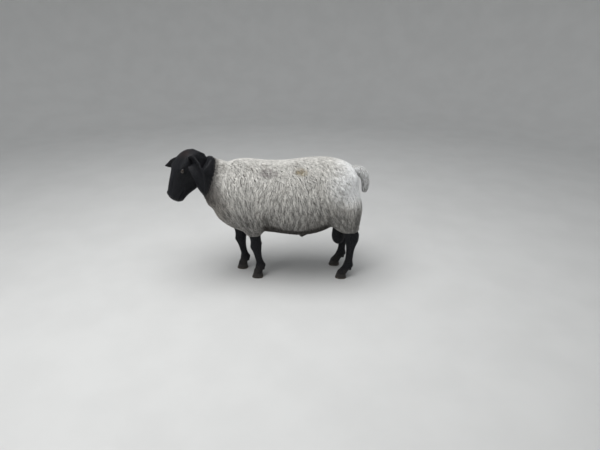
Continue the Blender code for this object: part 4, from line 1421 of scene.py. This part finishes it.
def bare_places(points):
    """True where no tuft grows: by the eyes, in the nostrils, on the lips and at the hooves."""
    s, across, high = head_frame(points)
    aside = np.abs(across)
    bare = np.zeros(len(points), bool)
    for side in (1, -1):
        bare |= np.linalg.norm(points - np.array(eye_place(side)), axis=1) < EYE_RADIUS + 0.0058
    on_head = (s > 0.0) & (s < 0.31) & (aside < 0.09)
    bare |= on_head & (s > 0.272) & (high > -0.022)
    bare |= on_head & (s > MOUTH_CORNER - 0.004) & (np.abs(high - mouth_height(s)) < 0.0045)
    bare |= points[:, 2] < CORONET + 0.001
    return bare


def hair_length(points, hair):
    """How long each tuft is: short on the muzzle, longer on the poll and at the throat."""
    s, _, high = head_frame(points)
    size = hair.face + (hair.body - hair.face) * smooth_step(0.16 - s, 0.0, 0.16)
    poll = np.exp(-(((s + 0.005) / 0.040) ** 2)) * smooth_step(high, 0.005, 0.04)
    throat = smooth_step(-high, 0.075, 0.12) * smooth_step(0.12 - s, 0.0, 0.1)
    size = size * (1 + 0.3 * poll + 0.5 * throat)
    return np.where(points[:, 2] < HAIR_SPLIT, hair.body * smooth_step(points[:, 2], -0.06, 0.16), size)


def make_hair(hair):
    """Tufts over the black skin of the head, the ears and the legs, lying close to it."""
    rng = np.random.default_rng(SEED + 11)
    skin = bpy.data.objects["skin"]
    back = to_frame()
    skin.data.transform(Matrix.Translation(-back))

    def gap_at(places):
        return np.where(places[:, 2] < HAIR_SPLIT, hair.spacing * 1.25, hair.spacing)

    def haired(places):
        clear_of_wool = (places[:, 2] < HAIR_SPLIT) | (side_of_head(places) > HAIR_EDGE)
        return (blackness(places) > 0.35) & clear_of_wool

    points, normals = even_points(skin, gap_at, SEED + 11, haired, tries=4.0)
    skin.data.transform(Matrix.Translation(back))
    kept = ~bare_places(points)
    points, normals = points[kept], normals[kept]
    flow = hair_flow(points) + rng.normal(0, 0.16, points.shape)
    lies = unit(flow - normals * dot(flow, normals))
    lengths = hair_length(points, hair) * rng.uniform(0.7, 1.25, len(points))
    steps = [(lies * reach + normals * rise) * lengths[:, None] for reach, rise in HAIR_SHAPE]
    lines = np.stack([points + step for step in steps], axis=1)
    wide = hair.width / 2 * rng.uniform(0.8, 1.25, len(points))[:, None] * np.array(HAIR_GIRTH)
    on_head = points[:, 2] >= HAIR_SPLIT
    foot = nearest_foot(points)[0]
    groups = {"hair_head": (on_head, head_places(points[on_head]))}
    for index, name in enumerate(FEET):
        chosen = ~on_head & (foot == index)
        groups["hair_leg_" + name] = (chosen, leg_places(points[chosen], name))
    tints = rng.uniform(0, 1, len(points))
    pieces = []
    for name, (chosen, places) in groups.items():
        girth = wide[chosen]
        made = strands(name, lines[chosen], normals[chosen], girth, girth * 0.5, places, tints[chosen])
        made_at = places_of(made)
        point_values(made.data, "black", np.ones(len(made_at)))
        point_vectors(made.data, "coat_place", coat_place(made_at))
        pieces.append(made)
    return pieces


def head_places(points):
    """Where roots lie on an unwrap of the head: round it and along it."""
    s, across, high = head_frame(points)
    return spread_places(np.arctan2(across, high + 0.03) / (2 * math.pi) + 0.5, s)


# Eyes and hooves


def make_eye(name, side, size):
    """An eyeball whose own X is where it looks, with the cornea standing out a little."""
    eye = ball(name, Vector((0, 0, 0)), EYE_RADIUS, 64, 48)
    for vert in eye.data.vertices:
        facing = vert.co.normalized()
        vert.co = vert.co * (1 + size.cornea * float(smooth_step(facing.x, 0.62, 0.80)))
    up = head_axes()[2]
    out = gaze_of(side)
    over = (up - out * up.dot(out)).normalized()
    turn = Matrix((out, over.cross(out), over)).transposed().to_4x4()
    eye.matrix_world = Matrix.Translation(eye_place(side) + to_frame()) @ turn
    return smoothed(eye)


def hoof_wall(x, y, side, share):
    """One claw's outline at a height: share 0 at the coronet and 1 at the ground."""
    points = []
    bulge = 1 + 0.05 * math.sin(math.pi * share)
    for k in range(HOOF_STEPS + 1):
        angle = math.pi * k / HOOF_STEPS
        reach, out = math.cos(angle), math.sin(angle) ** 0.8
        foot = (CLAW_TOE if reach > 0 else CLAW_HEEL) * reach
        crown = (CROWN_TOE if reach > 0 else CROWN_HEEL) * reach
        ahead = crown + (foot - crown) * share**1.1
        wide = (CLAW_WIDTH + 0.002 * (1 - share)) * out * bulge
        points.append(Vector((x - 0.006 + 0.002 * share - ahead, y + side * (CLAW_CLEFT + wide), 0)))
    return points


def make_claw(name, foot, side):
    """One claw from the coronet down to its rounded edge at the ground."""
    x, y = FEET[foot]
    rings = []
    for share, height in HOOF_LEVELS:
        shrink = 1 - 0.06 * max(0.0, (CLAW_EDGE - height) / CLAW_EDGE)
        outline = hoof_wall(x, y, side, share)
        middle = sum(outline, Vector()) / len(outline)
        rings.append([middle + (p - middle) * shrink + Vector((0, 0, height)) for p in outline])
    return smoothed(loft(name, rings))


# Materials


class Finish:
    """Builds one material's nodes."""

    def __init__(self, name):
        self.material = bpy.data.materials.new(name)
        self.material.use_nodes = True
        self.nodes = self.material.node_tree.nodes
        self.links = self.material.node_tree.links
        self.shader = self.nodes["Principled BSDF"]
        self.place = self.node("ShaderNodeTexCoord").outputs["Object"]

    def node(self, kind, **values):
        made = self.nodes.new(kind)
        for name, value in values.items():
            setattr(made, name, value)
        return made

    def feed(self, socket, value):
        if isinstance(value, bpy.types.NodeSocket):
            self.links.new(value, socket)
        elif isinstance(value, tuple) and len(value) == 3 and socket.type == "RGBA":
            socket.default_value = (*value, 1)
        else:
            socket.default_value = value

    def attribute(self, name, kind="Fac"):
        return self.node("ShaderNodeAttribute", attribute_name=name).outputs[kind]

    def scaled(self, place, scale):
        made = self.node("ShaderNodeMapping")
        self.feed(made.inputs["Vector"], place)
        self.feed(made.inputs["Scale"], scale)
        return made.outputs["Vector"]

    def noise(self, place, scale, detail=3.0, roughness=0.5, distortion=0.0):
        made = self.node("ShaderNodeTexNoise")
        for name, value in (
            ("Vector", place),
            ("Scale", scale),
            ("Detail", detail),
            ("Roughness", roughness),
            ("Distortion", distortion),
        ):
            self.feed(made.inputs[name], value)
        return made.outputs["Fac"]

    def bands(self, place, scale, distortion):
        """Level bands, one above the other."""
        made = self.node("ShaderNodeTexWave", bands_direction="Z")
        self.feed(made.inputs["Vector"], place)
        self.feed(made.inputs["Scale"], scale)
        self.feed(made.inputs["Distortion"], distortion)
        self.feed(made.inputs["Detail Scale"], 1.4)
        return made.outputs["Fac"]

    def ranged(self, value, low, high, start=0.0, end=1.0):
        made = self.node("ShaderNodeMapRange", interpolation_type="SMOOTHSTEP")
        for name, one in (
            ("Value", value),
            ("From Min", low),
            ("From Max", high),
            ("To Min", start),
            ("To Max", end),
        ):
            self.feed(made.inputs[name], one)
        return made.outputs["Result"]

    def plus(self, a, b):
        return self.reckoned("ADD", a, b)

    def times(self, a, b):
        return self.reckoned("MULTIPLY", a, b)

    def reckoned(self, operation, a, b):
        made = self.node("ShaderNodeMath", operation=operation)
        self.feed(made.inputs[0], a)
        self.feed(made.inputs[1], b)
        return made.outputs[0]

    def grey(self, value):
        """A number as a colour."""
        made = self.node("ShaderNodeCombineColor")
        for socket in made.inputs:
            self.feed(socket, value)
        return made.outputs[0]

    def size_of(self, vector):
        made = self.node("ShaderNodeVectorMath", operation="LENGTH")
        self.feed(made.inputs[0], vector)
        return made.outputs["Value"]

    def mixed(self, share, a, b, blend="MIX"):
        made = self.node("ShaderNodeMix", data_type="RGBA", blend_type=blend)
        self.feed(made.inputs[0], share)
        self.feed(made.inputs[6], a)
        self.feed(made.inputs[7], b)
        return made.outputs[2]

    def height(self):
        made = self.node("ShaderNodeSeparateXYZ")
        self.feed(made.inputs[0], self.place)
        return made.outputs["Z"]

    def near(self, middle, stretch, low=0.4, high=1.0):
        """1 at a place, 0 away from it."""
        moved = self.node("ShaderNodeVectorMath", operation="SUBTRACT")
        self.feed(moved.inputs[0], self.place)
        self.feed(moved.inputs[1], middle)
        sized = self.node("ShaderNodeVectorMath", operation="DIVIDE")
        self.feed(sized.inputs[0], moved.outputs[0])
        self.feed(sized.inputs[1], stretch)
        return self.ranged(self.size_of(sized.outputs[0]), high, low)

    def bump(self, height, depth, before=None):
        made = self.node("ShaderNodeBump")
        self.feed(made.inputs["Height"], height)
        self.feed(made.inputs["Distance"], depth)
        if before is not None:
            self.feed(made.inputs["Normal"], before)
        return made.outputs["Normal"]

    def set(self, **values):
        for name, value in values.items():
            self.feed(self.shader.inputs[name.replace("_", " ")], value)
        return self.material


def fleece_finish(wool):
    """Cream wool: clean and bright above, greyer below with painted shade, and darker between the locks and
    at the throat, where shade is painted too.
    """
    f = Finish("fleece")
    broad = f.noise(f.place, 7.0, 4.0, 0.6)
    fine = f.noise(f.place, 46.0, 3.0, 0.6)
    # Darker low on the sides: greyer wool there, with painted shade from the light above
    level = f.plus(f.height(), f.times(broad, 0.10))
    wool_colour = f.mixed(f.ranged(level, 0.40, 0.72), tuple(wool.low_grey_and_shade_colour), tuple(wool.top_colour))
    clean = f.near(in_frame(CLEAN_RUMP), CLEAN_REACH)
    wool_colour = f.mixed(clean, wool_colour, tuple(wool.clean_colour))
    chest = f.near(in_frame(DULL_CHEST), DULL_REACH)
    wool_colour = f.mixed(f.times(chest, 0.85), wool_colour, tuple(wool.dust_colour))
    dust = f.ranged(f.times(broad, fine), 0.24, 0.42, 0.0, 0.55)
    wool_colour = f.mixed(dust, wool_colour, tuple(wool.dust_colour))
    for place, stretch, strength, colour in STAINS:
        blotches = f.ranged(fine, 0.30, 0.62, 0.2, strength)
        share = f.times(f.near(in_frame(place), stretch, 0.25), blotches)
        wool_colour = f.mixed(share, wool_colour, colour)
    # Darker roots: greasier wool at the root, with painted shade in the gaps between the locks
    root = f.ranged(f.attribute("along"), 0.0, 0.50, 0.60, 0.0)
    wool_colour = f.mixed(root, wool_colour, tuple(wool.root_and_gap_shade_colour))
    tint = f.ranged(f.attribute("tint"), 0.0, 1.0, 0.42, 1.36)
    wool_colour = f.mixed(1.0, wool_colour, f.grey(tint), "MULTIPLY")
    # Dirt with painted shade under the belly and by the tail, and painted shade in the folds
    belly = f.times(f.attribute("belly"), f.ranged(fine, 0.30, 0.60, 0.82, 1.0))
    wool_colour = f.mixed(belly, wool_colour, tuple(wool.belly_dirt_and_shade_colour))
    # Grey wool next to the black head, with painted shade down at the throat
    wool_colour = f.mixed(f.attribute("throat"), wool_colour, tuple(wool.throat_grey_and_shade_colour))
    patch = f.node("ShaderNodeUVMap", uv_map="OFBake").outputs["UV"]
    fibres = f.noise(f.scaled(patch, (7.0 / PATCH, 1.1 / PATCH, 1.0)), 1.0, 3.0, 0.6)
    thread = f.ranged(fibres, 0.30, 0.66, 0.76, 1.12)
    return f.set(
        Base_Color=f.mixed(1.0, wool_colour, f.grey(thread), "MULTIPLY"),
        Roughness=0.92,
        Normal=f.bump(fibres, 0.0016),
        Sheen_Weight=0.12,
        Sheen_Roughness=0.55,
        Sheen_Tint=(1.0, 0.98, 0.94, 1.0),
        Specular_IOR_Level=0.15,
    )


def black_finish(hair, wool):
    """Short glossy black hair with a brown cast on the poll, and fleece skin under the wool in the roots'
    colour, which carries painted shade.
    """
    f = Finish("black_coat")
    lay = f.attribute("coat_place", "Vector")
    streaks = f.noise(lay, 430.0, 4.0, 0.62)
    patches = f.noise(f.place, 16.0, 3.0)
    colour = f.mixed(f.ranged(streaks, 0.30, 0.72), tuple(hair.deep_colour), tuple(hair.bright_colour))
    brown = f.near(in_frame(head_place(*POLL_CAST)), POLL_CAST_REACH, 0.3)
    brown = f.times(brown, f.ranged(patches, 0.30, 0.65, 0.35, 1.0))
    colour = f.mixed(brown, colour, tuple(hair.poll_colour))
    dusty = f.ranged(f.height(), 0.14, 0.0, 0.0, 0.5)
    dusty = f.times(dusty, f.ranged(patches, 0.35, 0.65))
    colour = f.mixed(dusty, colour, tuple(hair.dust_colour))
    # The skin under the wool takes the roots' colour, with its painted shade of the gaps
    colour = f.mixed(f.attribute("black"), tuple(wool.root_and_gap_shade_colour), colour)
    return f.set(
        Base_Color=colour,
        Roughness=f.ranged(f.noise(lay, 120.0, 2.0), 0.3, 0.7, 0.42, 0.66),
        Normal=f.bump(f.noise(f.place, 60.0, 2.0), 0.0010, f.bump(streaks, 0.0007)),
        Sheen_Weight=0.015,
        Sheen_Roughness=0.4,
        Sheen_Tint=(0.62, 0.72, 1.0, 1.0),
        Specular_IOR_Level=0.17,
    )


def eye_finish(size):
    """A dark amber iris with a level oblong pupil, under a wet clear coat."""
    f = Finish("eye")
    flat = f.scaled(f.place, (0.0, 1.0, 1.0))
    far = f.size_of(flat)
    oval = f.size_of(f.scaled(flat, (1.0, 1 / PUPIL_HALF[0], 1 / PUPIL_HALF[1])))
    threads = f.noise(f.scaled(f.place, (0.2, 1.0, 1.0)), 900.0, 3.0, 0.6, 1.2)
    iris = f.mixed(f.ranged(threads, 0.3, 0.7), tuple(size.iris_deep), tuple(size.iris_bright))
    iris = f.mixed(f.ranged(far, *IRIS_RIM), iris, IRIS_RIM_COLOUR)
    colour = f.mixed(f.ranged(oval, 1.12, 0.92), iris, PUPIL_COLOUR)
    return f.set(
        Base_Color=f.mixed(f.ranged(far, *IRIS_END), colour, tuple(size.white_colour)),
        Roughness=0.22,
        Coat_Weight=1.0,
        Coat_Roughness=0.02,
        Coat_IOR=1.376,
        Specular_IOR_Level=0.5,
    )


def horn_finish(hoof):
    """Dark hoof horn with growth rings, fine fibres and dust towards the ground."""
    f = Finish("horn")
    rings = f.bands(f.place, 62.0, 6.0)
    fibres = f.noise(f.scaled(f.place, (1.0, 1.0, 0.12)), 700.0, 3.0)
    spots = f.ranged(f.noise(f.place, 120.0), 0.3, 0.7)
    patchy = f.times(f.ranged(rings, 0.1, 0.9, 0.2, 0.8), spots)
    colour = f.mixed(patchy, tuple(hoof.deep_colour), tuple(hoof.bright_colour))
    worn = f.times(f.ranged(f.height(), 0.020, 0.0), f.ranged(f.noise(f.place, 90.0), 0.35, 0.65))
    return f.set(
        Base_Color=f.mixed(worn, colour, tuple(hoof.dust_colour)),
        Roughness=0.55,
        Normal=f.bump(fibres, 0.0003, f.bump(rings, 0.0003)),
        Specular_IOR_Level=0.4,
    )


def floor_finish(studio):
    """A pale floor with a faint grain."""
    f = Finish("floor")
    grain = f.noise(f.place, 3.0, 4.0)
    shade = tuple(c * 0.96 for c in studio.floor_colour)
    colour = f.mixed(f.ranged(grain, 0.3, 0.7), shade, tuple(studio.floor_colour))
    return f.set(Base_Color=colour, Roughness=0.9, Specular_IOR_Level=0.2)


# The stage


def soft_light(name, place, aim, size, power):
    lamp = bpy.data.lights.new(name, "AREA")
    lamp.shape = "DISK"
    lamp.size = size
    lamp.energy = power
    made = linked(name, lamp)
    made.location = place
    made.rotation_euler = (Vector(aim) - Vector(place)).to_track_quat("-Z", "Y").to_euler()


def make_stage(studio):
    """A pale floor that curves up all round, soft lights above and in front, and the photo's camera."""
    profile = [(0.0, FLOOR_REACH * share) for share in (0.25, 0.5, 0.75, 1.0)]
    for turn in np.linspace(0, math.pi / 2, 14)[1:]:
        profile.append((WALL_CURVE * (1 - math.cos(turn)), FLOOR_REACH + WALL_CURVE * math.sin(turn)))
    profile.append((WALL_HEIGHT, FLOOR_REACH + WALL_CURVE))
    points = [Vector((0, 0, 0))]
    for height, reach in profile:
        angles = (2 * math.pi * k / WALL_SIDES for k in range(WALL_SIDES))
        points += [Vector((reach * math.cos(a), reach * math.sin(a), height)) for a in angles]
    faces = [(0, 1 + k, 1 + (k + 1) % WALL_SIDES) for k in range(WALL_SIDES)]
    for r in range(len(profile) - 1):
        first = 1 + r * WALL_SIDES
        for k in range(WALL_SIDES):
            a, b = first + k, first + (k + 1) % WALL_SIDES
            faces.append((a, a + WALL_SIDES, b + WALL_SIDES, b))
    floor = mesh_object("floor", points, faces)
    floor.data.materials.append(floor_finish(studio))
    smoothed(floor)

    for name, place, aim, size in LIGHTS:
        soft_light(name, place, aim, size, getattr(studio, name))
    world = bpy.data.worlds.new("studio")
    world.use_nodes = True
    world.node_tree.nodes["Background"].inputs["Color"].default_value = (*studio.air_colour, 1)
    world.node_tree.nodes["Background"].inputs["Strength"].default_value = studio.air
    bpy.context.scene.world = world
    bpy.context.scene.view_settings.view_transform = "Standard"

    lens = bpy.data.cameras.new("camera")
    lens.sensor_width = SENSOR
    lens.lens = CAMERA_FOCUS / PICTURE_WIDTH * SENSOR
    camera = linked("camera", lens)
    camera.location = Vector(CAMERA_PLACE) + to_frame()
    camera.rotation_euler = (math.radians(90 - CAMERA_PITCH), 0, 0)
    bpy.context.scene.camera = camera


# Settings, one group for each kind of piece


def length(name, description, default, low=0.0, high=1.0):
    return FloatProperty(
        name=name, description=description, default=default, min=low, max=high, unit="LENGTH", precision=4
    )


def colour(name, description, default):
    return FloatVectorProperty(
        name=name, description=description, default=default, size=3, subtype="COLOR", min=0.0, max=1.0
    )


class FleeceSettings(bpy.types.PropertyGroup):
    spacing: length("Spacing", "From one lock to the next on the sides", 0.0054)
    under_spacing: length("Under-wool spacing", "From one broad lock below the tips to the next", 0.0130)
    short: length("Short locks", "Length of the locks on the back", 0.029)
    long: length("Long locks", "Length of the locks low on the sides", 0.058)
    width: length("Lock width", "Width of a lock at its widest", 0.0056)
    staple: length("Staple", "From one gathered staple to the next", 0.023)
    wave_length: length("Wave length", "Length of one wave in a long lock", 0.023)
    wave_height: length("Wave height", "How far a long lock swings to either side", 0.0027)
    top_colour: colour("Top", "Wool on the back", (0.625, 0.612, 0.578))
    # The low wool's colour: greyer wool with painted shade
    low_grey_and_shade_colour: colour("Low", "Wool low on the sides", (0.322, 0.312, 0.298))
    clean_colour: colour("Clean", "The whitest wool, on the rump", (0.830, 0.838, 0.838))
    dust_colour: colour("Dust", "Dusty wool", (0.310, 0.290, 0.265))
    # The belly's colour: dirt with painted shade along the underside
    belly_dirt_and_shade_colour: colour("Belly", "Dirty wool under the belly", (0.022, 0.018, 0.015))
    # The roots' colour: greasier wool with painted shade between the locks
    root_and_gap_shade_colour: colour("Roots", "Between the locks", (0.40, 0.375, 0.335))
    # The throat's colour: grey wool with painted shade down at the throat
    throat_grey_and_shade_colour: colour("Throat", "Wool next to the black head", (0.11, 0.10, 0.095))


class HairSettings(bpy.types.PropertyGroup):
    spacing: length("Spacing", "From one tuft to the next", 0.0035)
    face: length("Face hair", "Length of the tufts on the muzzle", 0.0062)
    body: length("Body hair", "Length of the tufts behind the eyes and on the legs", 0.0105)
    width: length("Tuft width", "Width of a tuft", 0.0010)
    deep_colour: colour("Deep", "Between the hairs", (0.0022, 0.0024, 0.0032))
    bright_colour: colour("Bright", "Along the hairs", (0.0080, 0.0088, 0.0120))
    poll_colour: colour("Poll", "The brown cast on top of the head", (0.018, 0.011, 0.010))
    dust_colour: colour("Dust", "Dusty hair near the hooves", (0.060, 0.052, 0.042))


class EyeSettings(bpy.types.PropertyGroup):
    cornea: FloatProperty(name="Cornea", description="Share by which the cornea stands out", default=0.045)
    iris_deep: colour("Iris, deep", "Between the threads of the iris", (0.013, 0.007, 0.003))
    iris_bright: colour("Iris, bright", "Threads of the iris", (0.034, 0.018, 0.008))
    white_colour: colour("Rim", "The eyeball outside the iris", (0.026, 0.018, 0.015))


class HoofSettings(bpy.types.PropertyGroup):
    deep_colour: colour("Deep", "Between the growth rings", (0.016, 0.014, 0.013))
    bright_colour: colour("Bright", "On the growth rings", (0.045, 0.040, 0.035))
    dust_colour: colour("Dust", "Worn and dusty horn at the ground", (0.120, 0.100, 0.075))


class StudioSettings(bpy.types.PropertyGroup):
    overhead: FloatProperty(name="Overhead light", description="Power", default=115.0, unit="POWER")
    front: FloatProperty(name="Front light", description="Power", default=34.0, unit="POWER")
    air: FloatProperty(name="Air light", description="Strength of the light from all round", default=0.62)
    air_colour: colour("Air", "Colour of the light from all round", (0.93, 0.96, 1.0))
    floor_colour: colour("Floor", "Colour of the floor", (0.62, 0.62, 0.61))


# Operators


class RAM_OT_stage(bpy.types.Operator):
    """Lays the floor, hangs the soft lights and sets the camera"""

    bl_idname = "ram.stage"
    bl_label = "Stage"

    def execute(self, context):
        make_stage(context.scene.ram_studio)
        return {"FINISHED"}


class RAM_OT_skin(bpy.types.Operator):
    """Makes the one skin of head, ears, neck, trunk, tail, scrotum and legs"""

    bl_idname = "ram.skin"
    bl_label = "Skin"

    def execute(self, context):
        finish = black_finish(context.scene.ram_hair, context.scene.ram_fleece)
        finished(make_skin(), finish, "black_coat", *FLESH)
        return {"FINISHED"}


class RAM_OT_eyes(bpy.types.Operator):
    """Sets the two eyes in their sockets"""

    bl_idname = "ram.eyes"
    bl_label = "Eyes"

    def execute(self, context):
        settings = context.scene.ram_eyes
        finish = eye_finish(settings)
        for name, side in (("left", 1), ("right", -1)):
            eye = make_eye("eyeball_" + name, side, settings)
            eye.data.materials.append(finish)
            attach(eye, "root")
            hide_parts("eye_" + name)
        return {"FINISHED"}


class RAM_OT_hooves(bpy.types.Operator):
    """Makes the two claws of each hoof"""

    bl_idname = "ram.hooves"
    bl_label = "Hooves"

    def execute(self, context):
        finish = horn_finish(context.scene.ram_hooves)
        for foot in FEET:
            for place, side in (("left", -1), ("right", 1)):
                claw = make_claw(f"hoof_{foot}_{place}", foot, side)
                finished(claw, finish, "horn", f"claw_{foot}_{place}")
        return {"FINISHED"}


class RAM_OT_fleece(bpy.types.Operator):
    """Grows the locks of the fleece over the body, the upper legs and the tail"""

    bl_idname = "ram.fleece"
    bl_label = "Fleece"

    def execute(self, context):
        finish = fleece_finish(context.scene.ram_fleece)
        for piece in make_fleece(context.scene.ram_fleece):
            points = places_of(piece)
            # The throat's grey carries painted shade at the throat
            point_values(piece.data, "throat", throat_grey_and_shade_of(points))
            # The belly's darkness is dirt with painted shade, and painted shade in the folds
            point_values(piece.data, "belly", dirt_and_shade_of(points))
            finished(piece, finish, "fleece")
        return {"FINISHED"}


class RAM_OT_hair(bpy.types.Operator):
    """Grows the short black hair of the head, the ears and the legs"""

    bl_idname = "ram.hair"
    bl_label = "Hair"

    def execute(self, context):
        finish = bpy.data.materials["black_coat"]
        for piece in make_hair(context.scene.ram_hair):
            finished(piece, finish, "black_coat")
        return {"FINISHED"}


class RAM_PT_panel(bpy.types.Panel):
    """The steps that dress the ram, in order"""

    bl_label = "Ram"
    bl_idname = "RAM_PT_panel"
    bl_space_type = "VIEW_3D"
    bl_region_type = "UI"
    bl_category = "Ram"

    def draw(self, context):
        for step in OPERATORS:
            self.layout.operator(step.bl_idname)


OPERATORS = (RAM_OT_stage, RAM_OT_skin, RAM_OT_eyes, RAM_OT_hooves, RAM_OT_fleece, RAM_OT_hair)
SETTINGS = {
    "ram_fleece": FleeceSettings,
    "ram_hair": HairSettings,
    "ram_eyes": EyeSettings,
    "ram_hooves": HoofSettings,
    "ram_studio": StudioSettings,
}


def register():
    for group in (*SETTINGS.values(), *OPERATORS, RAM_PT_panel):
        bpy.utils.register_class(group)
    for name, group in SETTINGS.items():
        setattr(bpy.types.Scene, name, PointerProperty(type=group))


def unregister():
    for name in SETTINGS:
        delattr(bpy.types.Scene, name)
    for group in (RAM_PT_panel, *OPERATORS, *SETTINGS.values()):
        bpy.utils.unregister_class(group)


def main():
    register()
    bpy.ops.ram.stage()
    bpy.ops.ram.skin()
    bpy.ops.ram.eyes()
    bpy.ops.ram.hooves()
    bpy.ops.ram.fleece()
    bpy.ops.ram.hair()


if __name__ == "__main__":
    main()
